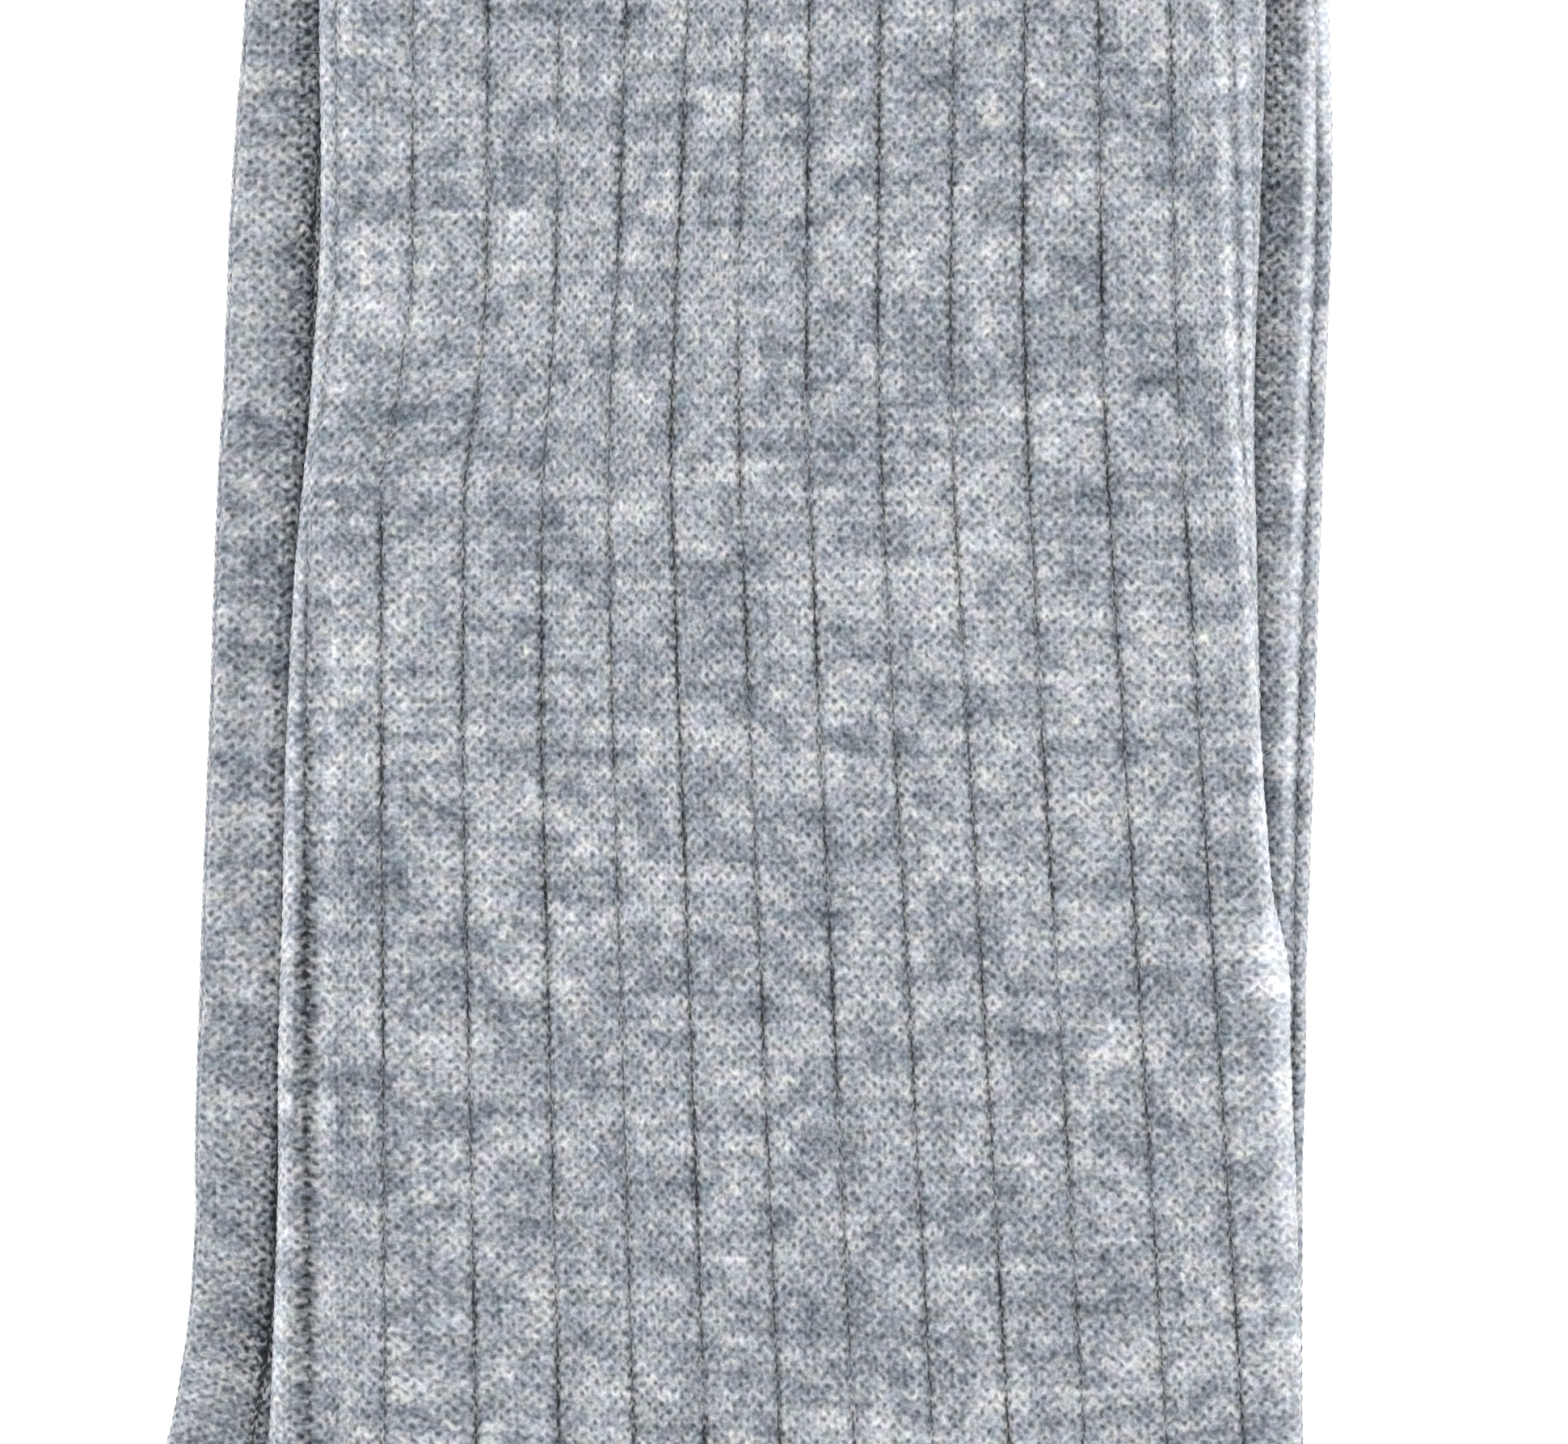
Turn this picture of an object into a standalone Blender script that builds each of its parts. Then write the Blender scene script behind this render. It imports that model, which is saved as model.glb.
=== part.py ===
"""A pair of rib-knit wool socks laid flat in profile, one on the other, in metres with +Z up.

Each sock is one knitted tube pressed flat: its two faces lie on each other between a front fold, down
the shin and along the instep, and a back fold, round the heel and along the sole. The tube is built as
a double shell of course lines. A course line crosses the sock from the front fold over its middle wale
to the back fold. The knitted zones (leg, heel pocket, foot, toe pocket) are separate solids, and the
cuff is open. The plan is drawn in millimetres from the middle of the stretch of leg that is seen
closest, with the cuffs up (+Y) and the toes to the left (-X).
"""

from collections import namedtuple
import math

import bmesh
import bpy
import numpy as np

MM = 0.001

# The cloth and how it lies, in millimetres.
WALL = 1.8
SLOT = 0.4  # between the two faces of a flattened tube
THICKNESS = 2 * WALL + SLOT
SEAM_GAP = 0.3  # between zones
REST_GAP = 0.3  # between the upper sock and the lower one
EDGE_LEDGE = 5.0  # how far the upper sock stays up past the edge of the lower one
EDGE_DROP = 15.0  # and the width over which it then comes down to the floor
PLAN_CENTRE = (-61.2, -73.8)  # the middle of the pair's outline, which becomes the origin

# The foot, in millimetres.
FOOT_LENGTH = 245.0  # heel to toe
TOE_LENGTH = 46.0
TOE_END_ANGLE = math.radians(74)  # where the rounded toe turns into its blunt tip
HEEL_POCKET_BACK = 98.0  # along the back fold
HEEL_POCKET_MIDDLE = 14.0  # along the middle wale, where the short rows end
HEEL_POCKET_FRONT = 26.0  # along the front fold
INSTEP_REACH = 55.0  # how far a soft corner starts before the corner, and ends after it
MIDDLE_REACH = 36.0
HEEL_REACH = 40.0
HEEL_DROP = 59.0  # from the ankle's height down to the sharp corner that the heel rounds off
HEEL_OUT = 4.5  # how far that corner lies behind the leg's back fold

# A stretch of leg: its height and the places of its front and back folds across it.
LegRow = namedtuple("LegRow", "height front back")
Sock = namedtuple("Sock", "name leg ankle_height turn foot_width level colour")

LOWER_LEG = (
    LegRow(136.0, -48.8, 49.6),  # the cuff
    LegRow(104.0, -49.6, 50.4),
    LegRow(67.9, -50.7, 51.2),
    LegRow(49.7, -51.9, 51.6),
    LegRow(31.4, -52.5, 51.0),
    LegRow(-5.1, -54.1, 49.7),
    LegRow(-41.6, -55.6, 48.7),
)
UPPER_LEG = (
    LegRow(96.0, -43.8, 45.4),  # the cuff
    LegRow(67.9, -43.9, 45.5),
    LegRow(45.1, -44.0, 45.0),
    LegRow(29.9, -44.9, 44.6),
    LegRow(14.7, -46.2, 44.9),
    LegRow(-0.5, -46.8, 45.4),
    LegRow(-15.7, -47.3, 46.3),
    LegRow(-30.9, -47.7, 47.6),
    LegRow(-46.1, -47.9, 48.2),
    LegRow(-67.9, -48.6, 48.7),
    LegRow(-82.0, -49.1, 49.0),
)
HEATHER_GREY = (0.36, 0.385, 0.415, 1.0)
WOOL_ROUGHNESS = 0.95

LOWER = Sock("lower_sock", LOWER_LEG, -89.0, math.radians(62), 94.0, 0.0, HEATHER_GREY)
UPPER_LEVEL = THICKNESS + REST_GAP
UPPER = Sock("upper_sock", UPPER_LEG, -129.0, math.radians(60), 90.0, UPPER_LEVEL, HEATHER_GREY)

# How fine the solids are: course lines per zone, and places across a face.
LEG_COURSES = {"lower_sock": 17, "upper_sock": 21}
FOOT_COURSES = {"lower_sock": 11, "upper_sock": 17}
ACROSS = {"lower_sock": 8, "upper_sock": 12}
HEEL_COURSES = 8
TOE_COURSES = 6
FOLD_ANGLES = (0.0, math.radians(45), math.radians(90))  # round a fold, from its outermost line
LINE_POINTS = 60
MERGE_DISTANCE = 1e-7  # metres
SHARP_ANGLE = math.radians(50)


def ease(t):
    """0 to 1, gathering speed late."""
    return t**4


def through(points, per_stretch=12):
    """A smooth line through the points, by the Catmull-Rom rule."""
    p = np.asarray(points, float)
    p = np.vstack([2 * p[0] - p[1], p, 2 * p[-1] - p[-2]])
    t = np.linspace(0, 1, per_stretch, endpoint=False)[:, None]
    line = [
        0.5 * (2 * b + (c - a) * t + (2 * a - 5 * b + 4 * c - d) * t**2 + (3 * b - a - 3 * c + d) * t**3)
        for a, b, c, d in zip(p, p[1:], p[2:], p[3:])
    ]
    return np.vstack(line + [p[-2:-1]])


def soft_corner(corner, before, after, reach):
    """A curve that leaves the direction before the corner gently and joins the one after it."""
    t = np.linspace(0, 1, LINE_POINTS)[:, None]
    start = corner - before * reach
    end = corner + after * reach
    return (1 - t) ** 2 * start + 2 * t * (1 - t) * corner + t**2 * end


def lengths(line):
    return np.concatenate([[0.0], np.cumsum(np.linalg.norm(np.diff(line, axis=0), axis=1))])


def along(line, distance):
    """The point at this distance along the line."""
    at = lengths(line)
    return np.array([np.interp(distance, at, line[:, k]) for k in (0, 1)])


def toe_curve(base, side, foot, half_width, t):
    """Where a fold line lies at t, from 0 to 1 round a quarter ellipse from the toe's base to its tip."""
    turn = t * TOE_END_ANGLE
    return base + foot * TOE_LENGTH * math.sin(turn) - side * half_width * (1 - math.cos(turn))


class Plan:
    """The front, middle and back lines of a sock in plan, and where along each the zones begin and end."""

    def __init__(self, sock):
        self.foot = np.array([-math.sin(sock.turn), -math.cos(sock.turn)])
        top = np.array([-math.cos(sock.turn), math.sin(sock.turn)])  # from the sole to the instep
        last = sock.leg[-1]
        heel_corner = np.array([last.back + HEEL_OUT, sock.ankle_height - HEEL_DROP])

        def corner(x, over_sole):
            """Where the line this far over the sole crosses a place across the leg."""
            start = heel_corner + top * over_sole
            return start + self.foot * (x - start[0]) / self.foot[0]

        heel_curve = soft_corner(heel_corner, np.array([0.0, -1.0]), self.foot, HEEL_REACH)
        toe_base = (heel_curve @ self.foot).min() + FOOT_LENGTH - TOE_LENGTH
        width = sock.foot_width
        middle = (last.front + last.back) / 2
        self.lines = {}
        self.zones = {}
        self.toes = {}
        for name, x, over_sole, side, reach, pocket in (
            ("front", last.front, width, top, INSTEP_REACH, HEEL_POCKET_FRONT),
            ("middle", middle, width / 2, 0 * top, MIDDLE_REACH, HEEL_POCKET_MIDDLE),
            ("back", heel_corner[0], 0.0, -top, HEEL_REACH, HEEL_POCKET_BACK),
        ):
            edge = [(getattr(row, name, (row.front + row.back) / 2), row.height) for row in sock.leg]
            turning = corner(x, over_sole)
            down = (turning - edge[-1]) / np.linalg.norm(turning - edge[-1])
            curve = soft_corner(turning, down, self.foot, reach)
            base = turning + self.foot * (toe_base - turning @ self.foot)
            line = np.vstack([through(edge), curve, base])
            gore = lengths(line)[-2 - LINE_POINTS // 2]  # the middle of the bend
            end = lengths(line)[-1]
            self.lines[name] = line
            self.zones[name] = {
                "leg": (0.0, gore - pocket / 2),
                "heel": (gore - pocket / 2, gore + pocket / 2),
                "foot": (gore + pocket / 2, end),
            }
            self.toes[name] = (base, side, width / 2)

    def course(self, zone, t):
        """The front, middle and back points of the course line at t, from 0 to 1 through the zone."""
        if zone == "toe":
            return [self.toe_point(name, t) for name in self.lines]
        usual = np.mean([self.zones[name][zone][1] - self.zones[name][zone][0] for name in self.lines])
        points = []
        for name, line in self.lines.items():
            start, end = self.zones[name][zone]
            spare = end - start - usual
            if zone == "leg":  # level courses that only bend near the ankle
                at = start + usual * t + spare * ease(t)
            elif zone == "foot":  # and straighten again along the foot
                at = end - usual * (1 - t) - spare * ease(1 - t)
            else:
                at = start + (end - start) * t
            points.append(along(line, at))
        return points

    def toe_point(self, name, t):
        base, side, half_width = self.toes[name]
        if name == "middle":
            return base + self.foot * TOE_LENGTH * math.sin(t * TOE_END_ANGLE) / math.sin(TOE_END_ANGLE)
        return toe_curve(base, side, self.foot, half_width, t)

    def outline(self):
        steps = np.linspace(0, 1, LINE_POINTS)
        sides = [
            np.vstack([self.lines[name]] + [self.toe_point(name, t) for t in steps[1:]])
            for name in ("front", "back")
        ]
        return np.vstack([sides[0], self.toe_point("middle", 1.0), sides[1][::-1]])


def across(points, share):
    """The place on a course line at a share of its width, from the front fold, 0, to the back, 1."""
    front, middle, back = points
    front_weight = (1 - share) * (1 - 2 * share)
    middle_weight = 4 * share * (1 - share)
    back_weight = share * (2 * share - 1)
    return front * front_weight + middle * middle_weight + back * back_weight


def section(points, places, inset):
    """Plan places on one course line: round the front fold, across the face, and round the back fold."""
    front, middle, back = points
    front_rate = np.linalg.norm(4 * middle - 3 * front - back)
    back_rate = np.linalg.norm(4 * middle - 3 * back - front)
    low = [inset(angle) / front_rate for angle in FOLD_ANGLES]
    high = [1 - inset(angle) / back_rate for angle in reversed(FOLD_ANGLES)]
    shares = low + [low[-1] + (high[0] - low[-1]) * place for place in places] + high
    return np.array([across(points, share) for share in shares])


def face_places(count, middle_gap):
    """Evenly spaced places across a face, with a narrow strip at its middle for the heel's seam."""
    places = [k / count for k in range(1, count) if 2 * k != count]
    return sorted(places + [0.5 - middle_gap / 2, 0.5 + middle_gap / 2])


def loop(points, places, tip=1.0):
    """Outer and inner rings of the tube at a course line: x, y and height over the sock's base."""
    rings = []
    for half_height, edge in ((THICKNESS / 2, 0.0), (SLOT / 2, WALL)):
        plan = section(points, places, lambda angle: edge + half_height * (1 - math.cos(angle)))
        rise = [math.sin(a) for a in FOLD_ANGLES]
        rise = np.array(rise + [1.0] * len(places) + rise[::-1]) * half_height * tip
        over = np.column_stack([plan, THICKNESS / 2 + rise])
        under = np.column_stack([plan, THICKNESS / 2 - rise])[-2:0:-1]
        rings.append(np.vstack([over, under]))
    return rings


def shifted(points, towards, gap):
    """A course line moved by gap towards another one."""
    moved = []
    for point, other in zip(points, towards):
        way = other - point
        moved.append(point + way * gap / max(np.linalg.norm(way), gap))
    return moved


def toe_courses(plan):
    """Course lines round the toe, and how thick the tube still is there, as shares of its thickness."""
    courses = [(plan.course("toe", k / TOE_COURSES), 1.0) for k in range(TOE_COURSES + 1)]
    end = courses.pop()[0]
    before = courses[-1][0]
    closing = []
    for angle in reversed(FOLD_ANGLES):
        back_off = THICKNESS / 2 * (1 - math.cos(angle))
        closing.append((shifted(end, before, back_off) if back_off else end, math.sin(angle)))
    return courses + closing, end, before


def distance_outside(outline, plan):
    """How far each plan point lies outside the outline, and below 0 inside it."""
    a = outline
    b = np.roll(outline, -1, axis=0)
    to_point = plan[:, None, :] - a
    edge = b - a
    share = np.clip((to_point * edge).sum(2) / np.maximum((edge**2).sum(1), 1e-9), 0, 1)
    near = np.linalg.norm(to_point - share[..., None] * edge, axis=2).min(1)
    crosses = (a[:, 1] > plan[:, 1, None]) != (b[:, 1] > plan[:, 1, None])
    rise = np.where(edge[:, 1] == 0, 1e-9, edge[:, 1])
    at_x = a[:, 0] + (plan[:, 1, None] - a[:, 1]) / rise * edge[:, 0]
    inside = (crosses & (plan[:, 0, None] < at_x)).sum(1) % 2 == 1
    return np.where(inside, -near, near)


def base_height(sock, outline_below, plan):
    """The height that the sock's underside lies at: on the sock below it, and on the floor past that."""
    if outline_below is None:
        return np.zeros(len(plan))
    past = (distance_outside(outline_below, plan) - EDGE_LEDGE) / EDGE_DROP
    past = np.clip(past, 0, 1)
    return sock.level * (1 - past * past * (3 - 2 * past))


def shell(name, rings, cells, rising, colour, closed_end=False):
    """One closed solid between outer and inner rings, over the cells that it holds, walled at their edge.

    rising tells for each place round the ring whether it runs from front to back, so that facing
    triangles of the two faces share their diagonal.
    """
    outer = np.array([ring[0] for ring in rings])
    inner = np.array([ring[1] for ring in rings])
    rows, around = outer.shape[:2]

    def outer_at(r, k):
        return r * around + k % around

    def inner_at(r, k):
        return rows * around + outer_at(r, k)

    def holds(r, k):
        return 0 <= r < rows - 1 and cells[r, k % around]

    triangles = []
    walls = []
    for r in range(rows - 1):
        for k in range(around):
            if not cells[r, k]:
                continue
            # At the tip, the triangles in the front corner must not lie in the plane where the faces meet.
            at_corner = closed_end and r == rows - 2 and k in (0, around - 1)
            for at in (outer_at, inner_at):
                a, b, c, d = at(r, k), at(r, k + 1), at(r + 1, k + 1), at(r + 1, k)
                halves = [(a, b, c), (a, c, d)] if rising[k] != at_corner else [(a, b, d), (b, c, d)]
                triangles += halves if at is outer_at else [half[::-1] for half in halves]
            sides = (
                ((r, k), (r, k + 1), holds(r - 1, k)),
                ((r, k + 1), (r + 1, k + 1), holds(r, k + 1)),
                ((r + 1, k + 1), (r + 1, k), holds(r + 1, k) or (closed_end and r == rows - 2)),
                ((r + 1, k), (r, k), holds(r, k - 1)),
            )
            for a, b, held in sides:
                if not held:
                    walls.append((outer_at(*b), outer_at(*a), inner_at(*a), inner_at(*b)))
    points = np.vstack([outer.reshape(-1, 3), inner.reshape(-1, 3)])
    points[:, :2] -= PLAN_CENTRE
    mesh = bpy.data.meshes.new(name)
    mesh.from_pydata((points * MM).tolist(), [], triangles + walls)
    bm = bmesh.new()
    bm.from_mesh(mesh)
    bmesh.ops.delete(bm, geom=[v for v in bm.verts if not v.link_faces], context="VERTS")
    bmesh.ops.remove_doubles(bm, verts=bm.verts, dist=MERGE_DISTANCE)
    bmesh.ops.recalc_face_normals(bm, faces=bm.faces)
    bm.to_mesh(mesh)
    bm.free()
    mesh.shade_smooth()
    mesh.set_sharp_from_angle(angle=SHARP_ANGLE)
    mesh.materials.append(knit_material(name, colour))
    obj = bpy.data.objects.new(name, mesh)
    bpy.context.collection.objects.link(obj)
    return obj


def knit_material(name, colour):
    material = bpy.data.materials.new(name + "_wool")
    material.use_nodes = True
    principled = material.node_tree.nodes["Principled BSDF"]
    principled.inputs["Base Color"].default_value = colour
    principled.inputs["Roughness"].default_value = WOOL_ROUGHNESS
    principled.inputs["Metallic"].default_value = 0.0
    return material


def make_sock(sock, outline_below):
    """The four zones of one sock, each its own solid."""
    plan = Plan(sock)
    count = ACROSS[sock.name]
    width = sock.leg[-1].back - sock.leg[-1].front
    places = face_places(count, SEAM_GAP / width)
    face = len(places) + 2 * len(FOLD_ANGLES)  # places over one face, both folds' outermost lines included
    around = 2 * face - 2
    rising = np.arange(around) < face - 1
    split = len(FOLD_ANGLES) + count // 2 - 1  # the place of the middle strip's front side

    def ring(points, thickness_left=1.0):
        rings = loop(points, places, thickness_left)
        for made in rings:
            made[:, 2] += base_height(sock, outline_below, made[:, :2])
        return rings

    def lines_of(zone, steps):
        return [plan.course(zone, k / steps) for k in range(steps + 1)]

    leg = lines_of("leg", LEG_COURSES[sock.name])
    heel = lines_of("heel", HEEL_COURSES)
    foot = lines_of("foot", FOOT_COURSES[sock.name])
    toe, toe_end, toe_before = toe_courses(plan)
    half_gap = SEAM_GAP / 2

    leg_rings = [ring(points) for points in leg[:-1]] + [ring(shifted(leg[-1], leg[-2], half_gap))]
    everywhere = np.ones((len(leg_rings) - 1, around), bool)
    shell(sock.name + "_leg", leg_rings, everywhere, rising, sock.colour)

    # The back half of a face, and of the ring, lies past the middle strip.
    place = np.arange(around)
    front_half = (place < split) | (place >= around - split)
    back_half = (place > split) & (place < around - split - 1)

    heel_lines = [shifted(heel[0], heel[1], half_gap), *heel[1:-1]]
    heel_lines.append(shifted(heel[-1], heel[-2], half_gap))
    cells = np.tile(back_half, (len(heel_lines) - 1, 1))
    shell(sock.name + "_heel", [ring(points) for points in heel_lines], cells, rising, sock.colour)

    # The instep runs on past the heel pocket, so the foot starts as a half tube.
    foot_lines = [heel_lines[0], *heel[1:], shifted(foot[0], foot[1], half_gap), *foot[1:-1]]
    foot_lines.append(shifted(foot[-1], foot[-2], half_gap))
    cells = np.ones((len(foot_lines) - 1, around), bool)
    cells[: len(heel)] = front_half
    shell(sock.name + "_foot", [ring(points) for points in foot_lines], cells, rising, sock.colour)

    first = (shifted(toe[0][0], toe[1][0], half_gap), 1.0)
    toe_rings = [ring(points, thickness_left) for points, thickness_left in [first, *toe[1:]]]
    # The slot inside ends a wall's thickness before the tip.
    for step, angle in enumerate(reversed(FOLD_ANGLES)):
        inset = WALL + SLOT / 2 * (1 - math.cos(angle))
        toe_rings[len(toe_rings) - len(FOLD_ANGLES) + step][1] = ring(
            shifted(toe_end, toe_before, inset), math.sin(angle)
        )[1]
    cells = np.ones((len(toe_rings) - 1, around), bool)
    shell(sock.name + "_toe", toe_rings, cells, rising, sock.colour, closed_end=True)
    return plan.outline()


def clear_scene():
    for obj in list(bpy.data.objects):
        bpy.data.objects.remove(obj)


def main():
    clear_scene()
    lower_outline = make_sock(LOWER, None)
    make_sock(UPPER, lower_outline)


main()
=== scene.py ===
"""A pair of heather-grey rib-knit wool socks, laid flat in profile, one on the other.

The CAD's plan of each sock, in millimetres, with mesh lines that follow the wales and the courses. So the
ribs, the lines between them, the stitches and the soft creases are relief. The material counts stitches.
"""

from collections import namedtuple
import math

import bmesh
import bpy
import numpy as np
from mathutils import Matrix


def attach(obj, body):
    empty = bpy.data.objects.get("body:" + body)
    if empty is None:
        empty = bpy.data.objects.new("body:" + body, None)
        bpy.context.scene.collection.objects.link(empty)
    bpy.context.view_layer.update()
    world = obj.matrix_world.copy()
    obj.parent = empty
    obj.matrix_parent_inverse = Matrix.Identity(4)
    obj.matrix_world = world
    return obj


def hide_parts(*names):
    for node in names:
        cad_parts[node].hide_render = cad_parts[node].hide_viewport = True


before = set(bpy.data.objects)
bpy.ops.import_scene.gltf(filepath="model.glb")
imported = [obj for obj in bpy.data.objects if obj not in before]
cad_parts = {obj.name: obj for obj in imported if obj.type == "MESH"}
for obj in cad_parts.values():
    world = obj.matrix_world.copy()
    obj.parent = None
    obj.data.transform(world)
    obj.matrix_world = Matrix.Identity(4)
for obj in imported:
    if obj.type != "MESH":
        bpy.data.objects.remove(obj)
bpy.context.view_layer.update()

MM = 0.001

# ---- the CAD's sizes, in millimetres

WALL = 1.8
SLOT = 0.4
THICKNESS = 2 * WALL + SLOT
RADIUS = THICKNESS / 2  # of a fold
REST_GAP = 0.3
EDGE_LEDGE = 5.0
EDGE_DROP = 15.0
PLAN_CENTRE = (-61.2, -73.8)

FOOT_LENGTH = 245.0
TOE_LENGTH = 46.0
TOE_END_ANGLE = math.radians(74)
HEEL_POCKET_BACK = 98.0
HEEL_POCKET_MIDDLE = 14.0
HEEL_POCKET_FRONT = 26.0
INSTEP_REACH = 55.0
MIDDLE_REACH = 36.0
HEEL_REACH = 40.0
HEEL_DROP = 59.0
HEEL_OUT = 4.5
LINE_POINTS = 60
COURSE_POINTS = 41
FOOT_LATE_BEND = 2.5

LegRow = namedtuple("LegRow", "height front back")
Sock = namedtuple("Sock", "name leg ankle_height turn foot_width level seed late_bend")

LOWER_LEG = [LegRow(*row) for row in (
    (136.0, -48.8, 49.6), (104.0, -49.6, 50.4), (67.9, -50.7, 51.2), (49.7, -51.9, 51.6),
    (31.4, -52.5, 51.0), (-5.1, -54.1, 49.7), (-41.6, -55.6, 48.7),
)]
UPPER_LEG = [LegRow(*row) for row in (
    (96.0, -43.8, 45.4), (67.9, -43.9, 45.5), (45.1, -44.0, 45.0), (29.9, -44.9, 44.6),
    (14.7, -46.2, 44.9), (-0.5, -46.8, 45.4), (-15.7, -47.3, 46.3), (-30.9, -47.7, 47.6),
    (-46.1, -47.9, 48.2), (-67.9, -48.6, 48.7), (-82.0, -49.1, 49.0),
)]
LOWER = Sock("lower_sock", LOWER_LEG, -89.0, math.radians(62), 94.0, 0.0, 11, 10)
UPPER = Sock("upper_sock", UPPER_LEG, -129.0, math.radians(60), 90.0, THICKNESS + REST_GAP, 23, 7)

# ---- the knit, in millimetres and stitches

COURSE = 1.22  # a stitch's height
WALE = 1.30  # and its width
LEG_COURSES = 188  # of either sock
RIBS = 26  # round a tube
RIB_WALES = 6  # five plain and one purl, which sinks into the line between two ribs
FRONT_LINE, BACK_LINE = 0, 13  # the lines between ribs that lie on the folds of a foot
CLOTH = 1.55  # how thick the cloth is at its ribs

GROOVE_HALF_WIDTH = 0.34  # of the sunk purl wale
GROOVE_DEPTH = 0.38
GROOVE_PAINTED_SHADE = 0.55  # painted shade in the sunk purl wale: this share of the light is taken off
GROOVE_SHAPE = (0, 0.25, 0.5, 1.0), (1.0, 0.85, 0.4, 0.0)  # wales from its middle, share of its depth
GROOVE_SHADE = (0, 0.25, 0.5, 1.0), (1.0, 0.85, 0.22, 0.0)  # and share of its painted shade
GROOVE_STRENGTH = 0.85  # on the average, of the depth and the painted shade
GROOVE_STRENGTHS = 0.15, 1.4  # the least and the most
# How uneven it is: how much, in how many courses, how unlike its neighbours and from which seed.
GROOVE_WAVES = (0.35, 14, 7.3, 0), (0.4, 4.5, 5.1, 3)
GROOVE_BEAT = 0.18  # with each course
RIDGE_LIFT = 0.35  # for all its strength
# Painted highlight on a ridge, for all its strength.
RIDGE_PAINTED_HIGHLIGHT = 1.0
CROWN = 0.08  # how much lower a rib's sides lie than its middle
STITCH_RELIEF = 0.06
FOLD_BEADS = 0.4  # how much more the stitches stand out on a fold
UNEVEN_STITCHES = 0.03
UNEVEN_SIZE = 1.4  # stitches
WAVES = 0.12  # the soft waves' depth
WAVE_SIZE = 16.0
CUFF_RIM = 1.6  # courses over which the cuff's edge rounds off
CUFF_DROP = 0.45  # how much lower the cuff's edge lies
GORE_DEPTH = 0.3  # of the line across the heel pocket, and how much it darkens
GORE_ROWS = 1.2  # its half width, in rows of half a course
TIP_ANGLE = math.radians(14)  # where the toe's rounding ends in a closed tip
LOWEST = 0.02  # that any cloth lies over what it rests on

FIBRES = 1300  # that stand off each sock
FACE_FIBRES = 0.06  # how many grow on the faces, for one on the same stretch of fold
FOLD_SLOPE = 0.6  # how level a normal is at a fold: the height of it is less than this
UNDER_SLOPE = -0.2  # and below this it is under the sock, where no fibres grow
FIBRE_RADIUS = 0.02
FIBRE_TAPER = 0.6
FIBRE_LENGTHS = (0.6, 2.0)
FIBRE_LEAN = 0.35  # towards the normal
FIBRE_BEND = 0.45
FIBRE_WAYS = (1, 1, 0.4)  # how far their directions spread
FIBRE_STEPS = 4
FIBRE_SIDES = 3
FIBRE_ROOT = 0.25  # how deep in the cloth a fibre starts

# Mesh lines across one rib, in wales from its first line, in two halves.
FINE_LINES = ((0, 0.25, 0.5, 1, 1.5, 2, 2.5), (3, 3.5, 4, 4.5, 5, 5.5, 5.75))
COARSE_LINES = ((0, 0.5), (3, 5.5))
FINE_RIBS = [25, *range(14)]  # the ribs that show from above
BLOCK = 8  # rows, of half a course each, to one face of the cloth's inside

# Most tables here have rows by height, in plan, from the bottom up.

# The lines between ribs on the upper sock, as the photo shows them: a height, and each line's place.
UPPER_RIBS = (
    (-67.9, -37.4, -28.8, -21.0, -14.0, -7.3, -0.3, 6.7, 14.1, 21.2, 28.3, 36.0, 43.2),
    (0.0, -37.8, -30.2, -22.8, -16.1, -9.8, -3.2, 3.3, 10.3, 17.2, 24.2, 31.8, 38.9),
    (22.3, -37.8, -30.0, -22.7, -16.5, -10.6, -4.1, 2.4, 9.2, 15.9, 23.0, 30.4, 37.5),
    (31.4, -36.2, -28.7, -22.0, -16.3, -10.5, -4.3, 2.1, 8.9, 15.7, 22.7, 30.0, 37.0),
    (40.6, -34.9, -27.9, -21.4, -15.7, -10.1, -4.3, 2.1, 8.8, 15.6, 22.4, 29.8, 36.7),
    (67.9, -34.8, -27.8, -21.1, -14.8, -9.0, -3.5, 2.4, 9.0, 16.0, 22.6, 29.5, 36.2),
)
UPPER_FIRST_RIB = 7.2  # round the front fold
UPPER_LAST_RIB = (-88, 7.9), (-20, 7.9), (0, 6.6), (17, 6.0), (68, 5.9)  # round the back fold
LOWER_FIRST_LINE = 9.0  # round the tube from the front fold
LOWER_LAST_LINE = 2.3  # and before the back fold
FRAME_BOTTOM = -67.9  # the height where the photo ends
EVEN_ABOVE_ANKLE = 5.0  # where the lines have evened out to suit the foot

# The lines beside the upper sock's folds: height, half width, depth, and how much painted shade they get.
# The front one opens into a gap further down.
FOLD_LINES = {
    FRONT_LINE: (
        (-88, 0.34, 0.5, 0.5), (-72, 1.1, 1.4, 0.72), (-20, 1.05, 1.3, 0.7),
        (2, 0.75, 1, 0.65), (22, 0.45, 0.4, 0.35), (60, 0.4, 0.2, 0.25),
    ),
    BACK_LINE: (
        (-15, GROOVE_HALF_WIDTH, GROOVE_DEPTH, GROOVE_PAINTED_SHADE),
        (10, 0.45, 0.25, 0.3),
        (68, 0.45, 0.2, 0.25),
    ),
}
FOLD_UNEVEN = 0.35  # of how uneven the other lines are

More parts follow.
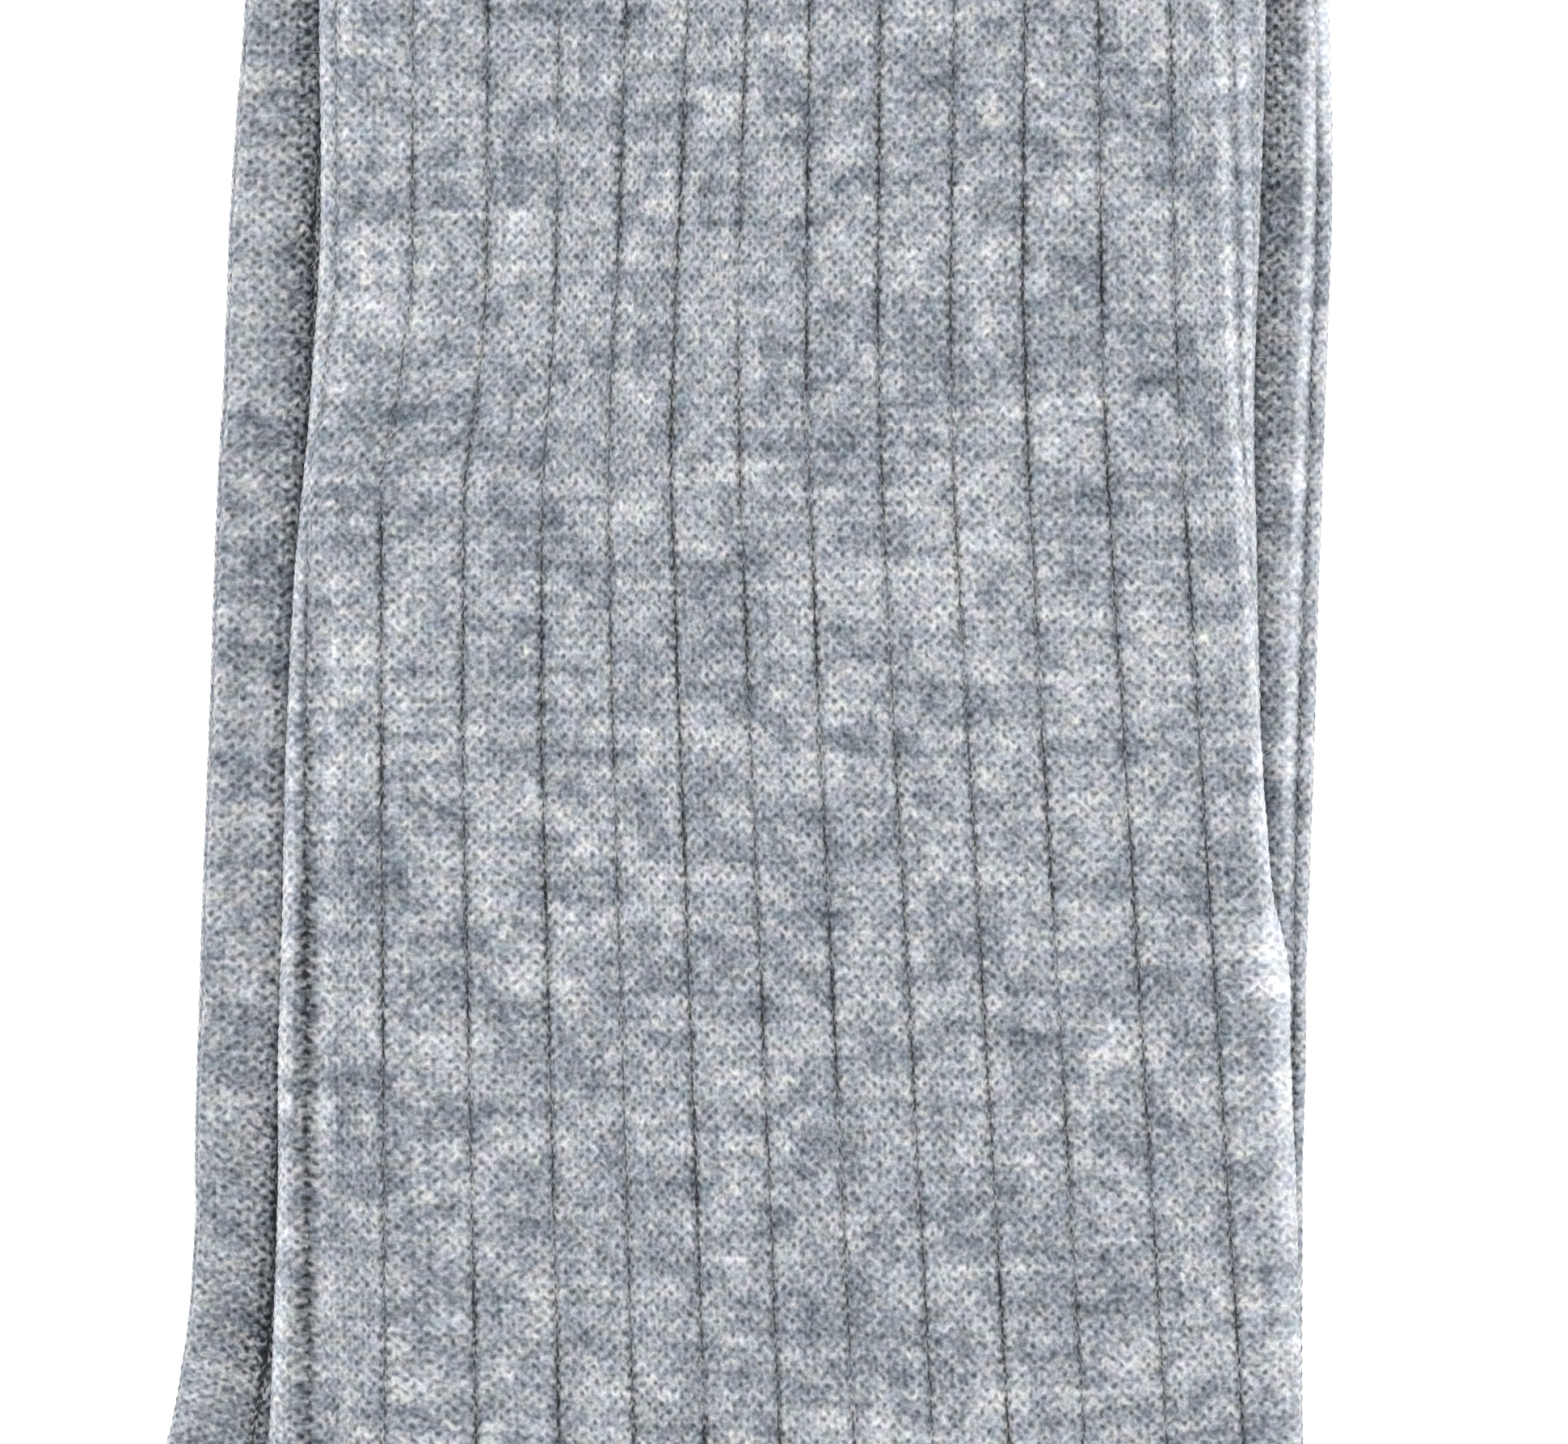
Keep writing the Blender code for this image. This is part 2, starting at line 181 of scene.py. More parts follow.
# How much further out than the CAD the cloth lies at each fold, by height.
FOLD_FILLS = {
    ("lower_sock", "front"): (
        (-88, 0.4), (-68, 0.5), (-45, 0.35), (0, 0.75), (27, 0.95), (45, 0.75), (68, 0.35),
    ),
    ("lower_sock", "back"): (
        (-88, -0.6), (-68, -1.3), (-58, -0.9), (-44, -0.3), (-30, 0.2), (-15, 0.5), (10, 0.35), (68, 0.35),
    ),
    ("upper_sock", "front"): (
        (-88, 0.3), (-68, 0), (-45, -0.1), (-10, 0.1), (27, -0.3), (68, -0.1),
    ),
    ("upper_sock", "back"): (
        (-88, 0.3), (-68, 0.2), (-45, 0.25), (-32, 0.2), (-25, 0.7), (-21, 0.6),
        (-17, -0.2), (-8, -0.4), (0, -0.4), (20, -0.2), (68, 0.1),
    ),
}

# Where the cloth stands up along a fold. Each row has a height, how far from the edge the ridge is seen
# there, its half width and its strength, which sets both its lift and its painted highlight.
RIDGES = {
    ("upper_sock", "back"): (
        (
            (-88, 0.6, 0.8, 0), (-68, 0.8, 1, 0.4), (-55, 1, 1.2, 0.7), (-45, 0.8, 1, 0.9),
            (-30, 0.7, 1.2, 1), (-22, 0.8, 1.5, 1), (-16, 0.6, 0.8, 1), (0, 0.9, 0.7, 1),
            (15, 1.5, 0.6, 0.9), (45, 3.3, 0.6, 0.8), (68, 5, 0.6, 0.6),
        ),
        (
            (-15, 0.2, 0.3, 0), (0, 0.4, 0.4, 0.5), (18, 0.6, 0.5, 0.9), (33, 0.9, 0.5, 0.8),
            (45, 1.4, 0.5, 0.7), (68, 2.8, 0.5, 0.5),
        ),
    ),
    ("upper_sock", "front"): (
        ((-88, 0.7, 0.6, 0), (-68, 0.7, 0.65, 0.5), (68, 0.7, 0.6, 0.5)),
        (
            (-88, 4.6, 0.7, 0), (-68, 4.6, 0.7, 0.25), (10, 4.6, 0.7, 0.25), (22, 2.8, 0.6, 0.2),
            (68, 2.7, 0.6, 0.25),
        ),
    ),
    ("lower_sock", "front"): (),
    ("lower_sock", "back"): (
        (
            (-40, 2.3, 0.6, 0), (-12, 2.3, 0.6, 0.6), (0, 2.3, 0.6, 0.9), (20, 2.3, 0.6, 1),
            (45, 2.3, 0.65, 1.1), (57, 1.8, 0.75, 1.1), (68, 1.1, 0.9, 1.1),
        ),
        ((-60, 0.3, 0.3, 0), (-40, 0.3, 0.3, 0.2), (50, 0.3, 0.3, 0.2), (58, 0.4, 0.4, 0.8)),
    ),
}
RIDGE_UNEVEN = 0.2
RIDGE_UNEVEN_SIZE = 3.0

# The painted shadow on the lower sock beside the upper one: how wide it is in front and behind, and how
# much it darkens there.
PAINTED_SHADOWS = (
    (-60, 4.6, 0.48, 1, 0.2),
    (-42, 3.6, 0.45, 0.8, 0.2),
    (-20, 2.8, 0.4, 0.8, 0.2),
    (5, 2.9, 0.45, 1.8, 0.34),
    (25, 3.6, 0.54, 3.4, 0.42),
    (45, 4.4, 0.6, 4.6, 0.48),
    (68, 4.6, 0.6, 5, 0.48),
)
PAINTED_SHADOW_EDGE = 0.6  # how much of the painted shadow is left at the edge, where the upper sock itself keeps the light out
SPRING = 0.75  # how much the cloth springs up beside the sock that presses on it
SPRING_STARTS, SPRING_RISE = -1.0, 0.9  # past the upper sock's outline, and the width in which it is up
SPRING_ENDS, SPRING_FALL = 0.6, 2.2

# Creases, above and below: the half width, and points of plan x, plan y and depth, which is under 0 for a
# ridge.
ABOVE, BELOW = True, False
CREASES = {
    ("upper_sock", ABOVE): (
        (0.9, ((6.2, -54.4, -0.02), (12, -51.5, -0.16), (17.5, -47, -0.14), (22, -44.6, -0.03))),
        (1.1, ((-17, -59, 0.03), (-13.5, -63.4, 0.2), (-7, -66.6, 0.2), (0.5, -67.4, 0.04))),
        (1.2, ((-43.5, 38.6, -0.16), (-36.5, 38.4, -0.14), (-30.5, 37, -0.02))),
        (1.6, ((20, 29, -0.02), (29, 28, -0.13), (38, 29.3, -0.1))),
        (1.5, ((-24, 13, 0.02), (-18, 15.5, 0.1), (-9, 15, 0.02))),
        (2.6, ((-46, -93, 0.3), (-35, -101, 0.45), (-20, -106, 0.1))),
        (2.2, ((-49, -106, 0.25), (-37, -113, 0.4), (-27, -115, 0.05))),
        (2.4, ((40, -128, 0.05), (27, -134, 0.3), (12, -137, 0.06))),
        (1.8, ((30, 104, 0.05), (18, 99, 0.16), (7, 101, 0.04))),
    ),
    ("upper_sock", BELOW): (
        (1.5, ((-30, 40, 0.02), (-20, 36, 0.14), (-8, 37, 0.03))),
        (1.3, ((18, -20, -0.02), (27, -16, -0.14), (36, -17.5, -0.04))),
        (2.4, ((-44, -97, 0.2), (-31, -105, 0.3), (-18, -108, 0.05))),
    ),
    ("lower_sock", ABOVE): (
        (2.6, ((-52, -57, 0.25), (-41, -64, 0.4), (-26, -69, 0.1))),
        (2.1, ((-56, -69, 0.2), (-45, -76, 0.35), (-33, -79, 0.06))),
        (1.8, ((-28, 127, 0.04), (-16, 123, 0.18), (-2, 124.5, 0.05))),
    ),
    ("lower_sock", BELOW): (
        (1.5, ((-22, 52, 0.03), (-9, 49, 0.13), (4, 51, 0.02))),
        (1.4, ((10, 3, -0.02), (21, 7, -0.13), (33, 6, -0.03))),
        (2.3, ((-50, -60, 0.18), (-36, -67, 0.28), (-22, -70, 0.04))),
    ),
}
CREASE_PAINTED_LIGHT = 0.8  # painted shade in a crease, and painted highlight on a ridge among them, for each millimetre of depth
EDGE_PAINTED_HIGHLIGHT = 0.3  # painted highlight where the wool is seen edge on
EDGE_WIDTH = 0.5

# ---- plan, as in the CAD


def smooth(t):
    """0 to 1, slow at both ends."""
    t = np.clip(t, 0, 1)
    return t * t * (3 - 2 * t)


def through(points, per_stretch=12):
    """A smooth line through the points, by the Catmull-Rom rule."""
    p = np.asarray(points, float)
    p = np.vstack([2 * p[0] - p[1], p, 2 * p[-1] - p[-2]])
    t = np.linspace(0, 1, per_stretch, endpoint=False)[:, None]
    line = [
        0.5 * (2 * b + (c - a) * t + (2 * a - 5 * b + 4 * c - d) * t**2 + (3 * b - a - 3 * c + d) * t**3)
        for a, b, c, d in zip(p, p[1:], p[2:], p[3:])
    ]
    return np.vstack(line + [p[-2:-1]])


def soft_corner(corner, before, after, reach):
    """A curve that leaves the direction before the corner gently and joins the one after it."""
    t = np.linspace(0, 1, LINE_POINTS)[:, None]
    start = corner - before * reach
    end = corner + after * reach
    return (1 - t) ** 2 * start + 2 * t * (1 - t) * corner + t**2 * end


def lengths(line):
    return np.concatenate([[0.0], np.cumsum(np.linalg.norm(np.diff(line, axis=0), axis=1))])


def along(line, distance):
    """The point at this distance along the line."""
    at = lengths(line)
    return np.array([np.interp(distance, at, line[:, k]) for k in (0, 1)])


class Plan:
    """The front, middle and back lines of a sock in plan, and where each zone begins and ends on them."""

    def __init__(self, sock):
        self.foot = np.array([-math.sin(sock.turn), -math.cos(sock.turn)])
        self.top = np.array([-math.cos(sock.turn), math.sin(sock.turn)])  # from the sole to the instep
        self.late_bend = sock.late_bend
        last = sock.leg[-1]
        heel_corner = np.array([last.back + HEEL_OUT, sock.ankle_height - HEEL_DROP])

        def corner(x, over_sole):
            """Where the line this far over the sole crosses a place across the leg."""
            start = heel_corner + self.top * over_sole
            return start + self.foot * (x - start[0]) / self.foot[0]

        heel_curve = soft_corner(heel_corner, np.array([0.0, -1.0]), self.foot, HEEL_REACH)
        toe_base = (heel_curve @ self.foot).min() + FOOT_LENGTH - TOE_LENGTH
        width = sock.foot_width
        middle = (last.front + last.back) / 2
        self.lines = {}
        self.zones = {}
        self.toes = {}
        for name, x, over_sole, side, reach, pocket in (
            ("front", last.front, width, self.top, INSTEP_REACH, HEEL_POCKET_FRONT),
            ("middle", middle, width / 2, 0 * self.top, MIDDLE_REACH, HEEL_POCKET_MIDDLE),
            ("back", heel_corner[0], 0.0, -self.top, HEEL_REACH, HEEL_POCKET_BACK),
        ):
            edge = [(getattr(row, name, (row.front + row.back) / 2), row.height) for row in sock.leg]
            turning = corner(x, over_sole)
            down = (turning - edge[-1]) / np.linalg.norm(turning - edge[-1])
            curve = soft_corner(turning, down, self.foot, reach)
            base = turning + self.foot * (toe_base - turning @ self.foot)
            line = np.vstack([through(edge), curve, base])
            gore = lengths(line)[-2 - LINE_POINTS // 2]  # the middle of the bend
            end = lengths(line)[-1]
            self.lines[name] = line
            self.zones[name] = {
                "leg": (0.0, gore - pocket / 2),
                "heel": (gore - pocket / 2, gore + pocket / 2),
                "foot": (gore + pocket / 2, end),
            }
            self.toes[name] = (base, side, width / 2)

    def usual(self, zone):
        return np.mean([self.zones[name][zone][1] - self.zones[name][zone][0] for name in self.lines])

    def course(self, zone, t):
        """The front, middle and back points of the course line at t, from 0 to 1 through the zone."""
        if zone == "toe":
            return [self.toe_point(name, t) for name in self.lines]
        usual = self.usual(zone)
        points = []
        for name, line in self.lines.items():
            start, end = self.zones[name][zone]
            spare = end - start - usual
            if zone == "leg":  # level courses that only bend near the ankle
                at = start + usual * t + spare * t**self.late_bend
            elif zone == "foot":  # and straighten again along the foot
                at = end - usual * (1 - t) - spare * (1 - t) ** FOOT_LATE_BEND
            else:
                at = start + (end - start) * t
            points.append(along(line, at))
        return points

    def toe_point(self, name, t):
        base, side, half_width = self.toes[name]
        turn = t * TOE_END_ANGLE
        if name == "middle":
            return base + self.foot * TOE_LENGTH * math.sin(turn) / math.sin(TOE_END_ANGLE)
        return base + self.foot * TOE_LENGTH * math.sin(turn) - side * half_width * (1 - math.cos(turn))

    def outline(self):
        steps = np.linspace(0, 1, LINE_POINTS)
        sides = [
            np.vstack([self.lines[name]] + [self.toe_point(name, t) for t in steps[1:]])
            for name in ("front", "back")
        ]
        return np.vstack([sides[0], self.toe_point("middle", 1.0), sides[1][::-1]])[::2]


def to_stretches(a, b, plan):
    """How far each plan point is from each stretch a to b, and at what share of it the nearest place is."""
    to_point = plan[:, None, :] - a
    edge = b - a
    share = np.clip((to_point * edge).sum(2) / np.maximum((edge**2).sum(1), 1e-9), 0, 1)
    return np.linalg.norm(to_point - share[..., None] * edge, axis=2), share


def distance_outside(outline, plan):
    """How far each plan point lies outside the outline, and below 0 inside it."""
    a = outline
    b = np.roll(outline, -1, axis=0)
    near = to_stretches(a, b, plan)[0].min(1)
    crosses = (a[:, 1] > plan[:, 1, None]) != (b[:, 1] > plan[:, 1, None])
    rise = np.where(a[:, 1] == b[:, 1], 1e-9, b[:, 1] - a[:, 1])
    at_x = a[:, 0] + (plan[:, 1, None] - a[:, 1]) / rise * (b[:, 0] - a[:, 0])
    inside = (crosses & (plan[:, 0, None] < at_x)).sum(1) % 2 == 1
    return np.where(inside, -near, near)


class Ring:
    """The flattened tube at a course line. Places round it are lengths from the front fold, over the top.

    rise is how much of the tube's thickness is left there, which falls to nothing at the toe's tip.
    """

    def __init__(self, points, rise=1.0):
        front, middle, back = points
        share = np.linspace(0, 1, COURSE_POINTS)[:, None]
        front_weight = (1 - share) * (1 - 2 * share)
        middle_weight = 4 * share * (1 - share)
        back_weight = share * (2 * share - 1)
        self.points = points
        self.height = (front[1] + back[1]) / 2
        self.rise = rise
        self.line = front * front_weight + middle * middle_weight + back * back_weight
        self.at = lengths(self.line)
        self.width = self.at[-1]
        self.fold = (math.pi / 2 - 1) * RADIUS  # how much longer a quarter turn is than it looks
        self.face = self.width + 2 * self.fold

    def from_plan(self, distance):
        """The place on top that is seen this far from the front fold."""
        near = np.minimum(distance, self.width - distance)
        turning = np.arccos(np.clip(1 - near / RADIUS, -1, 1)) * RADIUS
        place = np.where(near < RADIUS, turning, near + self.fold)
        return np.where(distance < self.width / 2, place, self.face - place)

    def seen(self, around):
        """Whether each place is on top, and how far from the front fold it is seen."""
        around = np.mod(around, 2 * self.face)
        above = around <= self.face
        q = np.where(above, around, 2 * self.face - around)
        from_fold = np.minimum(q, self.face - q)
        turning = RADIUS * (1 - np.cos(np.minimum(from_fold / RADIUS, math.pi / 2)))
        inset = np.where(from_fold < RADIUS * math.pi / 2, turning, from_fold - self.fold)
        return above, np.where(2 * q < self.face, inset, self.width - inset)

    def surface(self, around, lift):
        """The plan places and heights of places round it, and the plan places with the folds rolled out."""
        around = np.mod(around, 2 * self.face)
        above = around <= self.face
        q = np.where(above, around, 2 * self.face - around)
        from_fold = np.minimum(q, self.face - q)
        turn = np.minimum(from_fold / RADIUS, math.pi / 2)
        out = RADIUS + lift
        inset = np.where(turn < math.pi / 2, RADIUS - out * np.cos(turn), from_fold - self.fold)
        distance = np.where(2 * q < self.face, inset, self.width - inset)
        height = RADIUS + np.where(above, 1, -1) * out * np.sin(turn) * self.rise
        return self.plan(distance), height, self.plan(q - self.fold)

    def plan(self, distance):
        inside = np.clip(distance, 0, self.width)
        places = np.column_stack([np.interp(inside, self.at, self.line[:, k]) for k in (0, 1)])
        start = (self.line[1] - self.line[0]) / self.at[1]
        end = (self.line[-1] - self.line[-2]) / (self.at[-1] - self.at[-2])
        before = np.outer(np.minimum(distance, 0), start)
        after = np.outer(np.maximum(distance - self.width, 0), end)
        return places + before + after


# ---- wales


class Wales:
    """The mesh lines along a tube: each one's rib and wale. The last is the first again, a turn on."""

    def __init__(self):
        self.starts = []  # of the half ribs
        lines = []
        for rib in range(RIBS):
            for half in FINE_LINES if rib in FINE_RIBS else COARSE_LINES:
                self.starts.append(len(lines))
                lines += [(rib, wale) for wale in half]
        self.starts.append(len(lines))
        self.around = len(lines)
        self.rib, self.wale = np.array(lines + [(RIBS - 1, RIB_WALES)]).T
        self.rib = self.rib.astype(int)
        self.count = self.rib * RIB_WALES + self.wale
        self.from_line = np.minimum(self.wale, RIB_WALES - self.wale)
        self.nearest_line = (self.rib + (self.wale > RIB_WALES / 2)) % RIBS
        half_rib = self.count / (RIB_WALES / 2)
        self.instep = (half_rib <= BACK_LINE) | (half_rib >= 2 * RIBS - BACK_LINE)


WALES = Wales()
HALVES = np.arange(2 * RIBS)
INSTEP_HALVES = (HALVES < BACK_LINE) | (HALVES >= 2 * RIBS - BACK_LINE)


def wale_places(lines, half_widths, ribbed):
    """Places round the tube of all mesh lines, from those of the lines between ribs.

    The purl wale is narrow where the knit is ribbed, and as wide as the others where it is plain.
    """
    start = lines[WALES.rib]
    pitch = lines[WALES.rib + 1] - start
    first = half_widths[WALES.rib]
    last = half_widths[(WALES.rib + 1) % RIBS]
    wale = WALES.wale
    plain = first + (wale - 0.5) / (RIB_WALES - 1) * (pitch - first - last)
    sunk = np.where(wale < 0.5, wale * 2 * first, plain)
    sunk = np.where(wale > RIB_WALES - 0.5, pitch - (RIB_WALES - wale) * 2 * last, sunk)
    even = wale / RIB_WALES * pitch
    return start + sunk * ribbed + even * (1 - ribbed)


def even_lines(ring):
    """Lines between ribs that share out the tube evenly, the first one on the front fold."""
    return np.arange(RIBS + 1) / RIBS * 2 * ring.face


def shown_lines(sock, ring):
    """Lines between ribs where the photo shows them."""
    if sock is LOWER:
        first = LOWER_FIRST_LINE
        last = ring.face - LOWER_LAST_LINE
        shown = np.linspace(first, last, BACK_LINE)
        hidden = np.linspace(last, first + 2 * ring.face, RIBS - BACK_LINE + 2)
        return np.concatenate([[hidden[-2] - 2 * ring.face], shown, hidden[1:-1]])
    front, back = ring.points[0], ring.points[2]
    x = np.array(at_height(UPPER_RIBS, ring.height))
    shown = ring.from_plan((x - front[0]) / (back[0] - front[0]) * ring.width)
    first = shown[0] - UPPER_FIRST_RIB
    last = shown[-1] + at_height(UPPER_LAST_RIB, ring.height)[0]
    hidden = np.linspace(last, first + 2 * ring.face, RIBS - BACK_LINE + 1)
    return np.concatenate([[first], shown, hidden])


def leg_lines(sock, ring):
    """The shown lines, which even out below the photo's edge to suit the foot."""
    evened = smooth((FRAME_BOTTOM - ring.height) / (FRAME_BOTTOM - sock.ankle_height - EVEN_ABOVE_ANKLE))
    return shown_lines(sock, ring) * (1 - evened) + even_lines(ring) * evened


# ---- relief, with its painted highlight and painted shade


def soft_noise(x, y, seed):
    """Smooth noise from -1 to 1, with bumps about 1 wide."""
    size = 64
    grid = np.random.default_rng(seed).uniform(-1, 1, (size, size))
    x, y = np.broadcast_arrays(np.asarray(x, float), np.asarray(y, float))
    left, top = np.floor(x).astype(int), np.floor(y).astype(int)
    across, down = smooth(x - left), smooth(y - top)

    def at(column, row):
        return grid[column % size, row % size]

    above = at(left, top) * (1 - across) + at(left + 1, top) * across
    below = at(left, top + 1) * (1 - across) + at(left + 1, top + 1) * across
    return above * (1 - down) + below * down


def at_height(rows, height):
    """The values of a table at a height. Its rows start with their heights, which rise."""
    table = np.array(rows, float).T
    return [np.interp(height, table[0], values) for values in table[1:]]


def line_sizes(sock, ring):
    """The half widths, depths, painted shade and unevenness of the lines between ribs at a ring."""
    sizes = np.tile([GROOVE_HALF_WIDTH, GROOVE_DEPTH, GROOVE_PAINTED_SHADE, 1.0], (RIBS, 1))
    if sock is UPPER:
        for line, table in FOLD_LINES.items():
            sizes[line] = *at_height(table, ring.height), FOLD_UNEVEN
    return sizes.T


def knit_relief(sock, course, ribbed, sizes, ring, around):
    """How far the knit lies under the CAD's surface at each mesh line of a course, and its painted shade
    and highlight.
    """
    near = WALES.nearest_line
    away = WALES.from_line
    depths, darkens, unevenness = sizes[1:, near]
    turn = 2 * math.pi * course
    uneven = -GROOVE_BEAT * math.cos(turn)
    for much, courses, unlike, seed in GROOVE_WAVES:
        uneven = uneven + much * soft_noise(course / courses, near * unlike, sock.seed + seed)
    strength = np.clip(GROOVE_STRENGTH + unevenness * uneven, *GROOVE_STRENGTHS) * ribbed
    crown = CROWN * np.abs(1 - away / (RIB_WALES / 2)) ** 3 * ribbed
    seen = ring.seen(around)[1]
    beads = 1 + FOLD_BEADS * np.clip(1 - np.minimum(seen, ring.width - seen), 0, 1)
    stitch = STITCH_RELIEF * beads * (1 - np.cos(2 * math.pi * WALES.count) * math.cos(turn))
    spread = soft_noise(WALES.count / UNEVEN_SIZE, course / UNEVEN_SIZE, sock.seed + 1)
    broad, light = broad_relief(sock, ring, around)
    groove = np.interp(away, *GROOVE_SHAPE) * strength * depths
    # Painted shade in the lines between ribs, where the sunk purl wale lies in shadow.
    shade = np.interp(away, *GROOVE_SHADE) * strength * darkens
    return groove + crown + stitch + UNEVEN_STITCHES * (1 + spread) + broad, light - shade


def crease_depths(sock, above, flat):
    """The depth of the sock's creases at places in plan, each of which is above or below."""
    depths = np.zeros(len(flat))
    for side in (ABOVE, BELOW):
        for half_width, points in CREASES[sock.name, side]:
            points = np.array(points)
            away, share = to_stretches(points[:-1, :2], points[1:, :2], flat)
            nearest = np.arange(len(flat)), away.argmin(1)
            depth = points[nearest[1], 2] + share[nearest] * np.diff(points[:, 2])[nearest[1]]
            depths += depth * np.exp(-((away[nearest] / half_width) ** 2)) * (above == side)
    return depths


def broad_relief(sock, ring, around):
    """The soft waves, ridges, creases and the spring beside the upper sock, as depths, and the painted
    highlight, painted shade and painted shadow on them.
    """
    flat = ring.surface(around, 0.0)[2]
    above, seen = ring.seen(around)
    x, height = flat.T
    waves = WAVES * (1 + soft_noise(x / WAVE_SIZE, height / WAVE_SIZE, sock.seed + 2))
    raised = np.zeros(len(flat))
    for edge, away in (("front", seen), ("back", ring.width - seen)):
        fill = at_height(FOLD_FILLS[sock.name, edge], height)[0]
        waves -= fill * np.clip(1 - away / RADIUS, 0, 1)
        for ridge in RIDGES[sock.name, edge]:
            from_edge, half_width, strength = at_height(ridge, height)
            raised += strength * np.exp(-(((away - from_edge) / half_width) ** 2)) * above
    spread = soft_noise(x / RIDGE_UNEVEN_SIZE, height / RIDGE_UNEVEN_SIZE, sock.seed + 4)
    raised *= 1 - RIDGE_UNEVEN / 2 + RIDGE_UNEVEN * spread
    edge_on = np.clip(1 - np.minimum(seen, ring.width - seen) / EDGE_WIDTH, 0, 1)
    creased = crease_depths(sock, above, flat)
    painted_shadow = 0.0
    # On the lower sock: a painted shadow beside the upper sock, and the cloth springing up there.
    if sock is LOWER:
        front_width, front_shadow, back_width, back_shadow = at_height(PAINTED_SHADOWS, height)
        in_front = x < 0
        past = distance_outside(UPPER_OUTLINE, flat)
        painted_shadow = np.where(in_front, front_shadow, back_shadow)
        painted_shadow = painted_shadow * (1 - smooth(past / np.where(in_front, front_width, back_width))) * above
        painted_shadow *= PAINTED_SHADOW_EDGE + (1 - PAINTED_SHADOW_EDGE) * smooth(past)
        risen = smooth((past - SPRING_STARTS) / SPRING_RISE)
        waves -= SPRING * risen * (1 - smooth((past - SPRING_ENDS) / SPRING_FALL)) * above
    depth = waves - RIDGE_LIFT * raised + creased
    # The light is painted: highlight on ridges and where seen edge on, shade in creases and beside the
    # upper sock.
    return depth, RIDGE_PAINTED_HIGHLIGHT * raised + EDGE_PAINTED_HIGHLIGHT * edge_on - CREASE_PAINTED_LIGHT * creased - painted_shadow


# ---- rows of cloth and their meshes

# A row of the mesh: its outer and inner places, its stitch counts for the cloth before and after it, and
# its painted highlight or painted shade.
Row = namedtuple("Row", "outer inner before after light")


def cloth_row(sock, below, number, ring, around, sunk, light, knit, inner_ring=None):
    """One row, with the cloth sunk under the CAD's surface. Only rows between blocks have an inside."""

    def placed(ring, lift):
        plan, height, _ = ring.surface(around, lift)
        height = np.maximum(height, LOWEST)
        if below is not None:
            past = (distance_outside(below, plan) - EDGE_LEDGE) / EDGE_DROP
            height = height + sock.level * (1 - smooth(past))
        return np.column_stack([plan - PLAN_CENTRE, height]) * MM

    before, after = knit if isinstance(knit, tuple) else (knit, knit)
    inner = None if number % BLOCK else placed(inner_ring or ring, np.full(len(around), -CLOTH))
    return Row(placed(ring, -sunk), inner, before, after, light)


def counts(course):
    return np.column_stack([WALES.count, np.full(WALES.around + 1, course)])


def add_object(name, data):
    thing = bpy.data.objects.new(name, data)
    bpy.context.collection.objects.link(thing)
    return thing


def drop_loose_points(mesh):
    bm = bmesh.new()
    bm.from_mesh(mesh)
    bmesh.ops.delete(bm, geom=[point for point in bm.verts if not point.link_faces], context="VERTS")
    bm.to_mesh(mesh)
    bm.free()


